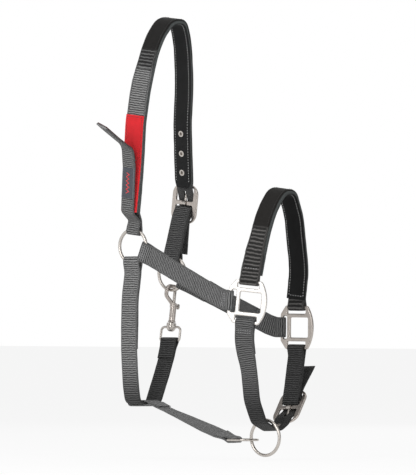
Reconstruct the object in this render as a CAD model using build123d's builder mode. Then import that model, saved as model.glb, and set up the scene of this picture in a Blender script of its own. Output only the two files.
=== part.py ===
"""Full-size horse head halter of nylon webbing, with a hook-and-loop safety tab, a padded crown and
noseband, two pin buckles, a bolt snap at the throat and loose rings. Millimetres. +X is the nose,
+Y the horse's left and +Z up. The origin is the underside of the crown's top, which lies on the poll."""
from build123d import *
from math import acos, asin, atan, atan2, cos, degrees, hypot, radians, sin, sqrt, tan
import os

os.makedirs("parts", exist_ok=True)

# ---- straps ----------------------------------------------------------------------------------------
web = 2.2                  # thickness of the webbing
strap_width = 25.0
tab_width = 20.0
crown_pad = 5.0            # lining under the crown
crown_pad_width = 26.5
nose_pad = 5.0             # lining under the noseband
nose_pad_width = 29.0
patch_thick = 1.2          # loop side of the hook-and-loop fastening, and its hook strip
label_thick = 0.6
touch = 0.3                # gap between pieces that lie against each other
fit = 0.4                  # room round a wire inside a strap's loop
loop_reach = 10.0          # from a wire to where the two legs of its loop lie together
fold = 30.0                # length of a strap's end that is folded back and sewn
lap = 0.5                  # how far two stretches of one strap run into each other
sewn_in = 1.0              # from a webbing's edge to the edge of a piece sewn on it

# ---- where things are ------------------------------------------------------------------------------
ring_x = -32.5             # both cheek rings
ring_y = 39.6
right_ring_z = -278.0
left_ring_z = -312.0       # the left side hangs lower, because the crown is buckled off centre
nose_top = (172.0, -208.0)           # x and z of the noseband's top, under its webbing
nose_lean = 5.9            # degrees that the noseband's plane leans forward
chin_x = 142.4             # where the chin strap's plane would meet the poll's height
chin_lean = -2.0           # degrees that it leans forward
square_y = 50.4
right_square_z = -347.5
left_square_z = -379.0
right_square_toe = 20.0    # degrees that the front of the right square turns inwards
jowl_y = -18.75            # plane of the jowl strap

# ---- hardware --------------------------------------------------------------------------------------
ring_wire = 4.0
cheek_ring_radius = 21.0   # to the middle of the wire
chin_ring_radius = 22.0
square_thick = 3.6
square_open_length = 28.0
square_open_height = 25.0
square_inner_bar = 4.75
square_slot = 6.0
square_slot_length = 28.4
square_outer_bar = 4.0
square_front_bar = 7.5
square_slot_back = 4.0     # how far the top and bottom slots lie behind the opening's middle
square_shoulder = 2.6      # from a slot's end to where the outline turns
buckle_thick = 3.0
buckle_window = 27.0       # width inside the buckle
buckle_rail = 6.3
buckle_corner = 13.0
buckle_bar = 3.0           # the round bar that the billet folds round
buckle_flat_bar = 4.0      # the two end bars
tongue_bar = 5.0
tongue_pin = 3.2           # round middle of the tongue bar
tongue_wire = 2.5
tongue_eye = 6.4
entry_at = 25.0            # the buckle's cross bars, along the buckle from its middle
tongue_at = 3.5
billet_at = -4.5
keeper_at = -20.0
entry_step = 3.6           # from the entry and tongue bars to where the woven strap turns
tongue_step = 2.4
link_wire = 3.0
link_inner_width = 27.0
link_length = 34.0
eyelet_hole = 4.0
eyelet_tube = 5.2
eyelet_rim = 7.6
eyelet_lip = 0.6


# ---- helpers ---------------------------------------------------------------------------------------
def across(x, z, lean=0.0):
    """Plane across the head, drawn in (y, height), whose top leans forward by `lean` degrees."""
    normal = (cos(radians(lean)), 0, -sin(radians(lean)))
    return Plane(origin=(x, 0, z), x_dir=(0, 1, 0), z_dir=normal)


def one_side(points, radii, depth):
    """Strip beside a route: to its left where depth is positive, else to its right."""
    with BuildSketch() as strip:
        with BuildLine():
            if len(points) > 2:
                route = FilletPolyline(*points, radius=radii)
            else:
                route = Line(*points)
            offset(route, amount=abs(depth), side=Side.LEFT if depth > 0 else Side.RIGHT, closed=True)
        make_face()
    return strip.sketch


def layer(plane, points, radii, near, far):
    """Side view of a strap or lining that lies between two distances to the left of a route."""
    with BuildSketch(plane) as section:
        add(one_side(points, radii, far))
        if near:
            same_side = (near > 0) == (far > 0)
            add(one_side(points, radii, near), mode=Mode.SUBTRACT if same_side else Mode.ADD)
    return section.sketch


def loop_section(plane, at, bar, reach=loop_reach):
    """Strap folded round a bar that stands at local x `at`; its two legs meet along +x."""
    inner = bar / 2 + fit
    outer = inner + web
    turn = acos(outer / hypot(reach, web)) + atan2(web, reach)
    apex = reach * inner / outer
    with BuildSketch(plane) as section:
        with Locations((at, 0)):
            Circle(outer)
        with BuildLine():
            tip = (at + outer * cos(turn), outer * sin(turn))
            Polyline(tip, (at + reach, web), (at + reach, -web), (tip[0], -tip[1]), close=True)
        make_face()
        with Locations((at, 0)):
            Circle(inner, mode=Mode.SUBTRACT)
        with BuildLine():
            foot = inner ** 2 / apex
            side = sqrt(inner ** 2 - foot ** 2)
            Polyline((at + foot, side), (at + apex, 0), (at + foot, -side), close=True)
        make_face(mode=Mode.SUBTRACT)
    return section.sketch


def bar_loop(bar_plane, bar, width, reach=loop_reach):
    """Strap loop round a straight bar along the plane's normal, pulling along its x."""
    with BuildPart() as loop:
        extrude(loop_section(bar_plane, 0, bar, reach), amount=width / 2, both=True)
    return loop.part


def ring_loop(centre, angle, width, spread):
    """Strap loop on a cheek ring: it follows the wire over `spread` degrees about `angle`."""
    def radial(at):
        out = (cos(radians(at)), 0, sin(radians(at)))
        return Plane(origin=centre, x_dir=out, z_dir=(-out[2], 0, out[0]))

    with BuildPart() as loop:
        section = loop_section(radial(angle + spread / 2), cheek_ring_radius, ring_wire)
        revolve(section, axis=Axis(centre, (0, 1, 0)), revolution_arc=spread)
        with BuildSketch(radial(angle)) as band:
            with Locations((cheek_ring_radius, 0)):
                Rectangle(2 * cheek_ring_radius, 10 * web)
        extrude(band.sketch, amount=width / 2, both=True, mode=Mode.INTERSECT)
    return loop.part


def section_plane(origin, along, thickness_way):
    """Plane across a strap: x is the way through its thickness and z runs along the strap."""
    normal = Vector(*along).normalized()
    x_dir = Vector(*thickness_way)
    x_dir = (x_dir - normal * x_dir.dot(normal)).normalized()
    return Plane(origin=origin, x_dir=x_dir, z_dir=normal)


def bridge(start, end, near, far, width):
    """Straight or twisted stretch of strap between two section planes."""
    with BuildPart() as stretch:
        for plane in (start, end):
            with BuildSketch(plane):
                with Locations(((near + far) / 2, 0)):
                    Rectangle(far - near, width)
        loft()
    return stretch.part


def square_plane(y, z, toe):
    """Plane of a halter square, whose top bar lies in the noseband's plane and bottom bar in the chin's."""
    nose_bar = nose_top[0] + (z + square_bar_up - nose_top[1]) * tan(radians(nose_lean))
    chin_bar = chin_x + (z - square_bar_up) * tan(radians(chin_lean))
    tilt = asin((nose_bar - chin_bar) / (2 * square_bar_up * cos(radians(toe))))
    forward = (cos(radians(toe)) * cos(tilt), sin(radians(toe)) * cos(tilt), -sin(tilt))
    outward = (sin(radians(toe)), -cos(radians(toe)), 0)
    middle = (nose_bar + chin_bar) / 2 + square_slot_back * forward[0]
    return Plane(origin=(middle, y, z), x_dir=forward, z_dir=outward)


def at(plane, x, y, z=0.0):
    """Point of a plane, in the part's own frame."""
    return plane.from_local_coords((x, y, z))


def billet_loop_plane(buckle):
    """Plane of a billet's loop on a buckle: x is the way the billet leaves, z the buckle's bar."""
    away = buckle.x_dir * -cos(billet_pull) - buckle.z_dir * sin(billet_pull)
    return Plane(origin=at(buckle, billet_at, 0), x_dir=away, z_dir=buckle.y_dir)


def square_outline():
    """Halter square: a central opening, three strap slots and a bowed front bar."""
    slot_at = square_open_height / 2 + square_inner_bar + square_slot / 2
    rear_slot_at = square_open_length / 2 + square_inner_bar + square_slot / 2
    top = slot_at + square_slot / 2 + square_outer_bar
    rear = rear_slot_at + square_slot / 2 + square_outer_bar
    corner = square_slot_length / 2 + square_shoulder
    toe_corner = corner - square_slot_back
    heel_corner = corner + square_slot_back
    front = square_open_length / 2 + square_front_bar
    with BuildSketch() as outline:
        with BuildLine():
            Polyline(
                (toe_corner, top), (-heel_corner, top), (-rear, corner),
                (-rear, -corner), (-heel_corner, -top), (toe_corner, -top),
            )
            ThreePointArc((toe_corner, -top), (front, 0), (toe_corner, top))
        make_face()
        fillet(outline.vertices(), 4)
        RectangleRounded(square_open_length, square_open_height, 2, mode=Mode.SUBTRACT)
        with Locations((-square_slot_back, slot_at), (-square_slot_back, -slot_at)):
            RectangleRounded(square_slot_length, square_slot, 1.5, mode=Mode.SUBTRACT)
        with Locations((-rear_slot_at, 0)):
            RectangleRounded(square_slot, square_slot_length, 1.5, mode=Mode.SUBTRACT)
    return outline.sketch


def square_solid(plane):
    """Cast halter square with rounded edges."""
    with BuildPart() as solid:
        with BuildSketch(plane):
            add(square_outline())
        extrude(amount=square_thick / 2, both=True)
        fillet(solid.faces().sort_by(Axis((0, 0, 0), plane.z_dir))[-1].edges(), square_thick * 0.28)
        fillet(solid.faces().sort_by(Axis((0, 0, 0), plane.z_dir))[0].edges(), square_thick * 0.28)
    return solid.part


def buckle_solid(plane):
    """Pin buckle: x runs along the strap and z points away from the horse."""
    length = entry_at - keeper_at + buckle_flat_bar
    middle = (entry_at + keeper_at) / 2
    tongue_near = tongue_at - tongue_bar / 2
    tongue_far = tongue_at + tongue_bar / 2
    entry_near = entry_at - buckle_flat_bar / 2
    keeper_near = keeper_at + buckle_flat_bar / 2
    with BuildPart() as solid:
        with BuildSketch(plane):
            with Locations((middle, 0)):
                RectangleRounded(length, buckle_window + 2 * buckle_rail, buckle_corner)
            with Locations(((entry_near + tongue_far) / 2, 0)):
                RectangleRounded(entry_near - tongue_far, buckle_window, 2, mode=Mode.SUBTRACT)
            with Locations(((tongue_near + keeper_near) / 2, 0)):
                RectangleRounded(tongue_near - keeper_near, buckle_window, 2, mode=Mode.SUBTRACT)
            with Locations((tongue_at, 0)):
                Rectangle(tongue_bar + 1, tongue_eye + 1.2, mode=Mode.SUBTRACT)
        extrude(amount=buckle_thick / 2, both=True)
        rims = solid.edges().filter_by(GeomType.CIRCLE).filter_by(lambda e: e.radius > 0.9 * buckle_corner)
        fillet(rims, buckle_thick * 0.3)
        cross = Plane(origin=at(plane, tongue_at, 0), x_dir=plane.x_dir, z_dir=plane.y_dir)
        with BuildSketch(cross):
            Circle(tongue_pin / 2)
        extrude(amount=(tongue_eye + 3) / 2, both=True)
        cross = Plane(origin=at(plane, billet_at, 0), x_dir=plane.x_dir, z_dir=plane.y_dir)
        with BuildSketch(cross):
            Circle(buckle_bar / 2)
        extrude(amount=buckle_window / 2 + 1, both=True)
    return solid.part


def tongue_solid(plane):
    """Buckle tongue at rest: an eye on the tongue bar and a pin that lies on the entry bar."""
    rise = buckle_thick / 2 + tongue_wire / 2 + touch
    reach = hypot(entry_at - tongue_at, rise) + 3.0
    along = at(plane, entry_at, 0, rise) - at(plane, tongue_at, 0)
    pivot = Plane(origin=at(plane, tongue_at, 0), x_dir=plane.x_dir, z_dir=plane.y_dir)
    with BuildPart() as solid:
        with BuildSketch(Plane(origin=at(plane, tongue_at, 0), x_dir=plane.y_dir, z_dir=along)):
            Circle(tongue_wire / 2)
        extrude(amount=reach)
        fillet(solid.faces().sort_by(Axis((0, 0, 0), along))[-1].edges(), tongue_wire * 0.4)
        with BuildSketch(pivot):
            Circle(tongue_eye / 2)
        extrude(amount=(tongue_eye - 0.6) / 2, both=True)
        with BuildSketch(pivot):
            Circle(tongue_pin / 2 + 0.08)
        extrude(amount=tongue_eye, both=True, mode=Mode.SUBTRACT)
    return solid.part


def eyelet(plane, depth):
    """Riveted eyelet through a strap; the plane lies on the webbing's inner face, z away from the horse."""
    with BuildPart() as solid:
        with BuildSketch(plane.offset(-depth - eyelet_lip)):
            Circle(eyelet_tube / 2)
            Circle(eyelet_hole / 2, mode=Mode.SUBTRACT)
        extrude(amount=depth + web + 2 * eyelet_lip)
        for level in (-depth - eyelet_lip, web):
            with BuildSketch(plane.offset(level)):
                Circle(eyelet_rim / 2)
                Circle(eyelet_hole / 2, mode=Mode.SUBTRACT)
            extrude(amount=eyelet_lip)
    return solid.part


def along_segment(start, end, height):
    """Point of a straight segment at a given height."""
    share = (height - start[1]) / (end[1] - start[1])
    return (start[0] + share * (end[0] - start[0]), height)


def weave(middle, q_way, n_way):
    """Inner-face route of a strap through a buckle, from the entry bar to the keeper bar."""
    under = -(buckle_thick / 2 + touch + web)
    over_tongue = tongue_eye / 2 + touch
    over_billet = buckle_bar / 2 + fit + web + 2.5 * touch
    steps = [
        (entry_at + 5.0, under),
        (entry_at - entry_step, under),
        (tongue_at + tongue_step, over_tongue),
        (billet_at - 1.0, over_billet),
        (keeper_at + 4.0, under),
        (keeper_at - 5.0, under),
    ]
    return [
        (middle[0] + q * q_way[0] + n * n_way[0], middle[1] + q * q_way[1] + n * n_way[1])
        for q, n in steps
    ]


def tongue_slot(plane):
    """Oblong hole that the tongue passes through, cut across the strap's ramp between the bars."""
    under = -(buckle_thick / 2 + touch + web)
    over = tongue_eye / 2 + touch
    ramp = Vector(tongue_at + tongue_step, over) - Vector(entry_at - entry_step, under)
    centre = at(plane, (tongue_at + entry_at - 5.5) / 2, 0, 0)
    along = at(plane, ramp.X, 0, ramp.Y) - at(plane, 0, 0, 0)
    return Plane(origin=centre, x_dir=along, z_dir=along.cross(plane.y_dir))


square_bar_up = square_open_height / 2 + square_inner_bar + square_slot + square_outer_bar / 2
square_bar_back = square_open_length / 2 + square_inner_bar + square_slot + square_outer_bar / 2
right_ring = (ring_x, -ring_y, right_ring_z)
left_ring = (ring_x, ring_y, left_ring_z)
crown_lean = degrees(atan(ring_x / right_ring_z))
crown_plane = across(0, 0, crown_lean)
nose_plane = across(nose_top[0], nose_top[1], nose_lean)
chin_plane = across(chin_x, 0, chin_lean)
throat_plane = across(ring_x, 0)
right_square_plane = square_plane(-square_y, right_square_z, right_square_toe)
left_square_plane = square_plane(square_y, left_square_z, 0.0)
billet_pull = radians(32.0)  # how far a billet leans in from its buckle
billet_reach = 11.0
tongue_slot_length = 15.5
tongue_slot_width = tongue_wire + 0.8
wide_spread = 66.0         # degrees of ring under a strap of full width
tab_spread = 54.0


def save(part, name):
    """Label a finished piece and write its STEP file."""
    part.label = name
    export_step(part, f"parts/{name}.step")


# ---- cheek rings and halter squares ------------------------------------------------------------------
with BuildPart(Plane(origin=right_ring, z_dir=(0, 1, 0))) as right_cheek_ring:
    Torus(cheek_ring_radius, ring_wire / 2)
save(right_cheek_ring.part, "right_cheek_ring")

with BuildPart(Plane(origin=left_ring, z_dir=(0, 1, 0))) as left_cheek_ring:
    Torus(cheek_ring_radius, ring_wire / 2)
save(left_cheek_ring.part, "left_cheek_ring")

with BuildPart() as right_square:
    add(square_solid(right_square_plane))
save(right_square.part, "right_square")

with BuildPart() as left_square:
    add(square_solid(left_square_plane))
save(left_square.part, "left_square")


# ---- buckles ---------------------------------------------------------------------------------------
crown_buckle_middle = (57.4, -228.5)
crown_buckle_plane = Plane(
    origin=at(crown_plane, *crown_buckle_middle), x_dir=crown_plane.y_dir, z_dir=crown_plane.x_dir
)
chin_buckle_middle = (34.4, -476.0)
chin_buckle_lean = radians(36.6)
chin_q = (-sin(chin_buckle_lean), -cos(chin_buckle_lean))
chin_n = (cos(chin_buckle_lean), -sin(chin_buckle_lean))
chin_buckle_plane = Plane(
    origin=at(chin_plane, *chin_buckle_middle),
    x_dir=chin_plane.x_dir * chin_q[0] + chin_plane.y_dir * chin_q[1],
    z_dir=chin_plane.x_dir * chin_n[0] + chin_plane.y_dir * chin_n[1],
)

with BuildPart() as crown_buckle_frame:
    add(buckle_solid(crown_buckle_plane))
save(crown_buckle_frame.part, "crown_buckle_frame")

with BuildPart() as crown_buckle_tongue:
    add(tongue_solid(crown_buckle_plane))
save(crown_buckle_tongue.part, "crown_buckle_tongue")

with BuildPart() as chin_buckle_frame:
    add(buckle_solid(chin_buckle_plane))
save(chin_buckle_frame.part, "chin_buckle_frame")

with BuildPart() as chin_buckle_tongue:
    add(tongue_solid(chin_buckle_plane))
save(chin_buckle_tongue.part, "chin_buckle_tongue")


# ---- crown -----------------------------------------------------------------------------------------
crown_end = (-51.5, -236.0)
crown_over_poll = [
    (-53.8, -176), (-57, -125), (-54, -77), (-42, -33.5), (-33, -14), (-16, crown_pad),
    (10, crown_pad), (20, -13), (27, -33.5), (36, -77), (39.3, -125),
]
crown_bends = [150, 90, 220, 84, 62, 25, 15, 95, 150, 280, 120]
crown_weave = weave(crown_buckle_middle, (0, 1), (1, 0))
weave_bends = [20, 4, 4, 4, 4, 12]
crown_tail = (54.8, -289.0)
crown_route = [crown_end, *crown_over_poll, *crown_weave, crown_tail]
crown_radii = [*crown_bends, *weave_bends]
eyelet_heights = (-137.0, -162.0, -186.0)


def crown_eyelet_plane(height):
    """Plane on the crown webbing's inner face at an eyelet of the left half."""
    start, end = crown_over_poll[-1], crown_weave[0]
    spot = along_segment(start, end, height)
    down = at(crown_plane, *end) - at(crown_plane, *start)
    return section_plane(at(crown_plane, *spot), down.cross(crown_plane.z_dir) * -1, down)


with BuildPart() as crown_webbing:
    extrude(layer(crown_plane, crown_route, crown_radii, 0, web), amount=strap_width / 2, both=True)
    for height in eyelet_heights:
        with BuildSketch(crown_eyelet_plane(height)):
            Circle(eyelet_tube / 2)
        extrude(amount=2 * web, both=True, mode=Mode.SUBTRACT)
    with BuildSketch(tongue_slot(crown_buckle_plane)):
        SlotOverall(tongue_slot_length, tongue_slot_width)
    extrude(amount=4 * web, both=True, mode=Mode.SUBTRACT)
save(crown_webbing.part, "crown_webbing")

lining_end = along_segment(crown_weave[0], crown_weave[1], crown_weave[1][1] + 1.5)
with BuildPart() as crown_lining:
    route = [crown_end, *crown_over_poll, crown_weave[0], lining_end]
    side_view = layer(crown_plane, route, [*crown_bends, weave_bends[0]], 0, -crown_pad)
    extrude(side_view, amount=crown_pad_width / 2, both=True)
    for height in eyelet_heights:
        with BuildSketch(crown_eyelet_plane(height)):
            Circle(eyelet_tube / 2)
        extrude(amount=3 * crown_pad, both=True, mode=Mode.SUBTRACT)
save(crown_lining.part, "crown_lining")

with BuildPart() as crown_eyelets:
    for height in eyelet_heights:
        add(eyelet(crown_eyelet_plane(height), crown_pad))
save(crown_eyelets.part, "crown_eyelets")

patch_height = -115.2      # height of the patch's upper end
patch_sewn_in = 0.4
patch_top = along_segment(crown_over_poll[1], crown_over_poll[2], patch_height)
with BuildPart() as hook_and_loop_patch:
    route = [crown_end, crown_over_poll[0], crown_over_poll[1], patch_top]
    side_view = layer(crown_plane, route, crown_bends[:2], web, web + patch_thick)
    extrude(side_view, amount=strap_width / 2 - patch_sewn_in, both=True)
save(hook_and_loop_patch.part, "hook_and_loop_patch")

crown_bar = at(crown_buckle_plane, billet_at, 0)
with BuildPart() as crown_billet:
    ring_angle = degrees(atan2(crown_bar.Z - left_ring_z, crown_bar.X - ring_x))
    add(ring_loop(left_ring, ring_angle, strap_width, wide_spread))
    bar = billet_loop_plane(crown_buckle_plane)
    add(bar_loop(bar, buckle_bar, strap_width, billet_reach))
    up = Vector(cos(radians(ring_angle)), 0, sin(radians(ring_angle)))
    ring_end = Vector(*left_ring) + up * (cheek_ring_radius + loop_reach - lap)
    start = section_plane(ring_end, up, (0, 1, 0))
    end = section_plane(at(bar, billet_reach - lap, 0), bar.x_dir * -1, (0, 1, 0))
    add(bridge(start, end, -web, web, strap_width))
save(crown_billet.part, "crown_billet")


# ---- safety tab ------------------------------------------------------------------------------------
tab_ring = crown_plane.to_local_coords(Vector(*right_ring))
tab_foot = tab_ring.Y + cheek_ring_radius + loop_reach - lap
tab_turn_height = -176.5   # where the loose end turns away
tab_tuck = 26.0            # how far the inner leg runs up behind the crown
tab_stand = 3.0            # how far the leg stands off the patch where it turns
leg_top = (crown_over_poll[0][0] - web - patch_thick - touch - tab_stand, tab_turn_height)
leg_bottom = (crown_end[0] - web - patch_thick - 3 * touch, crown_end[1] - 0.5)
flap_pivot = (leg_top[0] - web / 2, leg_top[1])
outer_leg = [
    (-ring_y, tab_foot), (-ring_y, tab_foot + 2), leg_bottom, (leg_top[0], leg_top[1] - web / 2 - touch),
]
inner_face = crown_end[0] + crown_pad + touch
tuck_top = along_segment(crown_end, crown_over_poll[0], crown_end[1] + tab_tuck)
inner_leg = [
    (-ring_y, tab_foot), (-ring_y, tab_foot + 2),
    (inner_face, crown_end[1] - 1), (tuck_top[0] + crown_pad + 2 * touch, tuck_top[1]),
]
with BuildPart() as safety_tab:
    add(ring_loop(right_ring, 90 - crown_lean, tab_width, tab_spread))
    extrude(layer(crown_plane, outer_leg, [3, 5], 0, web), amount=tab_width / 2, both=True)
    extrude(layer(crown_plane, inner_leg, [3, 5], 0, -web), amount=tab_width / 2, both=True)
save(safety_tab.part, "safety_tab")

label_heights = (-219.0, -181.0)
with BuildPart() as tab_label:
    route = [along_segment(outer_leg[2], outer_leg[3], height) for height in label_heights]
    side_view = layer(crown_plane, route, None, web, web + label_thick)
    extrude(side_view, amount=tab_width / 2 - sewn_in, both=True)
save(tab_label.part, "tab_label")

flap_route = [flap_pivot, (-69.0, -156.0), (-100.0, -141.5), (-124.0, -129.5)]
flap_bends = [14, 40]
with BuildPart() as safety_tab_end:
    extrude(layer(crown_plane, flap_route, flap_bends, -web / 2, web / 2), amount=tab_width / 2, both=True)
    with BuildSketch(crown_plane):
        with Locations(flap_pivot):
            Circle(web / 2)
    extrude(amount=tab_width / 2, both=True)
save(safety_tab_end.part, "safety_tab_end")

with BuildPart() as tab_hook_strip:
    route = [along_segment(flap_route[0], flap_route[1], flap_pivot[1] + 4), *flap_route[1:]]
    side_view = layer(crown_plane, route, flap_bends, -web / 2, -web / 2 - patch_thick)
    extrude(side_view, amount=tab_width / 2 - sewn_in, both=True)
save(tab_hook_strip.part, "tab_hook_strip")


# ---- noseband --------------------------------------------------------------------------------------
left_nose_bar = at(left_square_plane, -square_slot_back, square_bar_up)
left_nose_spot = nose_plane.to_local_coords(left_nose_bar)
nose_side = left_nose_spot.X
nose_foot = left_nose_spot.Y
right_nose_bar = at(right_square_plane, -square_slot_back, square_bar_up)
nose_in = radians(13.0)    # how far the stretch above the right square leans inwards
right_nose_band = Plane(
    origin=right_nose_bar,
    x_dir=right_square_plane.y_dir * cos(nose_in) - right_square_plane.z_dir * sin(nose_in),
    z_dir=right_square_plane.x_dir,
)
nose_band = 48.0           # straight stretch above the right square
nose_straight = 45.0       # and above the left one
nose_fold = 26.0
nose_route = [
    (-37, -50), (-30, -25), (-10, 0), (12, 0), (31, -32), (37, -54), (46.5, -85),
    (nose_side, nose_foot + nose_straight), (nose_side, nose_foot + loop_reach - lap),
]
nose_bends = [100, 20, 17, 75, 200, 200, 55]
fold_top = (nose_side, nose_foot + loop_reach + nose_fold)
lining_foot = (nose_side, nose_foot + loop_reach + 5)


def route_end_plane(plane, points):
    """Section plane at a route's first point, looking along the route, x to the left of it."""
    first, second = at(plane, *points[0]), at(plane, *points[1])
    along = second - first
    return section_plane(first, along, plane.z_dir.cross(along))


with BuildPart() as noseband_webbing:
    add(bar_loop(right_nose_band, square_outer_bar, strap_width))
    straight = [(loop_reach - lap, 0), (nose_band, 0)]
    extrude(layer(right_nose_band, straight, None, 0, web), amount=strap_width / 2, both=True)
    doubled = [(loop_reach - lap, 0), (loop_reach + nose_fold, 0)]
    extrude(layer(right_nose_band, doubled, None, 0, -web), amount=strap_width / 2, both=True)
    band_end = at(right_nose_band, nose_band, 0)
    turn_start = section_plane(band_end, right_nose_band.x_dir, right_nose_band.y_dir)
    turn_end = route_end_plane(nose_plane, nose_route)
    add(bridge(turn_start, turn_end, 0, web, strap_width))
    extrude(layer(nose_plane, nose_route, nose_bends, 0, web), amount=strap_width / 2, both=True)
    extrude(layer(nose_plane, [fold_top, nose_route[-1]], None, 0, -web), amount=strap_width / 2, both=True)
    left_nose_band = Plane(
        origin=left_nose_bar, x_dir=left_square_plane.y_dir, z_dir=left_square_plane.x_dir
    )
    add(bar_loop(left_nose_band, square_outer_bar, strap_width))
save(noseband_webbing.part, "noseband_webbing")

with BuildPart() as noseband_lining:
    over_fold = [(loop_reach + 5, 0), (loop_reach + nose_fold, 0)]
    extrude(layer(right_nose_band, over_fold, None, -web, -nose_pad), amount=nose_pad_width / 2, both=True)
    above_fold = [(loop_reach + nose_fold, 0), (nose_band, 0)]
    extrude(layer(right_nose_band, above_fold, None, 0, -nose_pad), amount=nose_pad_width / 2, both=True)
    add(bridge(turn_start, turn_end, -nose_pad, 0, nose_pad_width))
    route = [*nose_route[:-1], fold_top]
    extrude(layer(nose_plane, route, nose_bends, 0, -nose_pad), amount=nose_pad_width / 2, both=True)
    side_view = layer(nose_plane, [fold_top, lining_foot], None, -web, -nose_pad)
    extrude(side_view, amount=nose_pad_width / 2, both=True)
save(noseband_lining.part, "noseband_lining")


# ---- cheek straps ----------------------------------------------------------------------------------
def cheek_strap(ring_centre, square, outward):
    """Webbing from a cheek ring to a square's rear bar; `outward` is 1 if the run's normal points out."""
    ring_spot = Vector(*ring_centre)
    bar = at(square, -square_bar_back, 0)
    away = Vector(bar.X - ring_spot.X, bar.Y - ring_spot.Y, 0).normalized()
    pull = away.cross(Vector(0, 0, 1)).cross(square.y_dir).normalized()
    elbow = bar + pull * (loop_reach + 3)
    slope = degrees(atan2(elbow.Z - ring_spot.Z, elbow.X - ring_spot.X))
    along = Vector(cos(radians(slope)), 0, sin(radians(slope)))
    start = ring_spot + along * (cheek_ring_radius + loop_reach - 1)
    away = Vector(bar.X - start.X, bar.Y - start.Y, 0).normalized()
    run = Plane(origin=start, x_dir=away, z_dir=away.cross(Vector(0, 0, 1)))
    pull = run.z_dir.cross(square.y_dir).normalized()
    loop = Plane(origin=bar, x_dir=pull, z_dir=square.y_dir)
    bar_end = bar + pull * (loop_reach - 1)
    spots = [run.to_local_coords(p) for p in (start, bar + pull * (loop_reach + 3), bar_end)]
    route = [(p.X, p.Y) for p in spots]
    half = strap_width / 2
    rise = (route[1][1] - route[0][1]) / hypot(route[1][0], route[1][1])
    level = route[1][0] / hypot(route[1][0], route[1][1])
    ring_fold = [(0, 0), (fold * level, fold * rise)]
    square_fold = [(route[1][0] - fold * level, route[1][1] - fold * rise), route[1], route[2]]
    with BuildPart() as strap:
        add(ring_loop(ring_centre, slope, strap_width, wide_spread))
        add(bar_loop(loop, square_outer_bar, strap_width))
        extrude(layer(run, route, half + 1, -half, half), amount=outward * web)
        extrude(layer(run, ring_fold, None, -half, half), amount=-outward * web)
        extrude(layer(run, square_fold, half + 1, -half, half), amount=-outward * web)
    return strap.part


with BuildPart() as right_cheek_strap:
    add(cheek_strap(right_ring, right_square_plane, 1))
save(right_cheek_strap.part, "right_cheek_strap")

with BuildPart() as left_cheek_strap:
    add(cheek_strap(left_ring, left_square_plane, -1))
save(left_cheek_strap.part, "left_cheek_strap")


# ---- chin strap and its ring -----------------------------------------------------------------------
chin_weave = weave(chin_buckle_middle, chin_q, chin_n)
chin_tail = (70.0, -427.0)
chin_bottom = [(-3.0, -506.8), (-29.5, -496.0)]
chin_side = [(-42.3, -470.0), (-46.2, -437.0)]
chin_route = [chin_tail, *chin_weave[::-1], *chin_bottom, *chin_side]
chin_bends = [40, 4, 4, 4, 4, 12, 14, 12, 40]
chin_band = 40.0           # straight stretch below the right square
chin_in = radians(4.5)     # how far it leans inwards
right_chin_band = Plane(
    origin=at(right_square_plane, -square_slot_back, -square_bar_up),
    x_dir=right_square_plane.y_dir * -cos(chin_in) - right_square_plane.z_dir * sin(chin_in),
    z_dir=right_square_plane.x_dir * -1,
)
left_chin_band = Plane(
    origin=at(left_square_plane, -square_slot_back, -square_bar_up),
    x_dir=left_square_plane.y_dir * -1,
    z_dir=left_square_plane.x_dir * -1,
)
eyelet_y = 7.5


def chin_eyelet_plane():
    """Plane on the chin strap's inner face, at the eyelet before the buckle."""
    start, end = chin_weave[0], chin_bottom[0]
    share = (eyelet_y - start[0]) / (end[0] - start[0])
    spot = (eyelet_y, start[1] + share * (end[1] - start[1]))
    along = at(chin_plane, *end) - at(chin_plane, *start)
    return section_plane(at(chin_plane, *spot), chin_plane.z_dir.cross(along), along)


with BuildPart() as chin_strap:
    extrude(layer(chin_plane, chin_route, chin_bends, 0, web), amount=strap_width / 2, both=True)
    add(bar_loop(right_chin_band, square_outer_bar, strap_width))
    straight = [(loop_reach - lap, 0), (chin_band, 0)]
    extrude(layer(right_chin_band, straight, None, 0, web), amount=strap_width / 2, both=True)
    doubled = [(loop_reach - lap, 0), (chin_band - 2, 0)]
    extrude(layer(right_chin_band, doubled, None, 0, -web), amount=strap_width / 2, both=True)
    band_end = at(right_chin_band, chin_band, 0)
    turn_start = section_plane(band_end, right_chin_band.x_dir, right_chin_band.y_dir)
    last, before = at(chin_plane, *chin_route[-1]), at(chin_plane, *chin_route[-2])
    turn_end = section_plane(last, before - last, (0, -1, 0))
    add(bridge(turn_start, turn_end, 0, web, strap_width))
    with BuildSketch(chin_eyelet_plane()):
        Circle(eyelet_tube / 2)
    extrude(amount=2 * web, both=True, mode=Mode.SUBTRACT)
    with BuildSketch(tongue_slot(chin_buckle_plane)):
        SlotOverall(tongue_slot_length, tongue_slot_width)
    extrude(amount=4 * web, both=True, mode=Mode.SUBTRACT)
save(chin_strap.part, "chin_strap")

with BuildPart() as chin_eyelet:
    add(eyelet(chin_eyelet_plane(), 0))
save(chin_eyelet.part, "chin_eyelet")

with BuildPart() as chin_billet:
    add(bar_loop(left_chin_band, square_outer_bar, strap_width))
    bar = billet_loop_plane(chin_buckle_plane)
    add(bar_loop(bar, buckle_bar, strap_width, billet_reach))
    start = section_plane(at(left_chin_band, loop_reach - lap, 0), left_chin_band.x_dir, (0, 1, 0))
    end = section_plane(at(bar, billet_reach - lap, 0), bar.x_dir * -1, (0, 1, 0))
    add(bridge(start, end, -web, web, strap_width))
save(chin_billet.part, "chin_billet")

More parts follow.
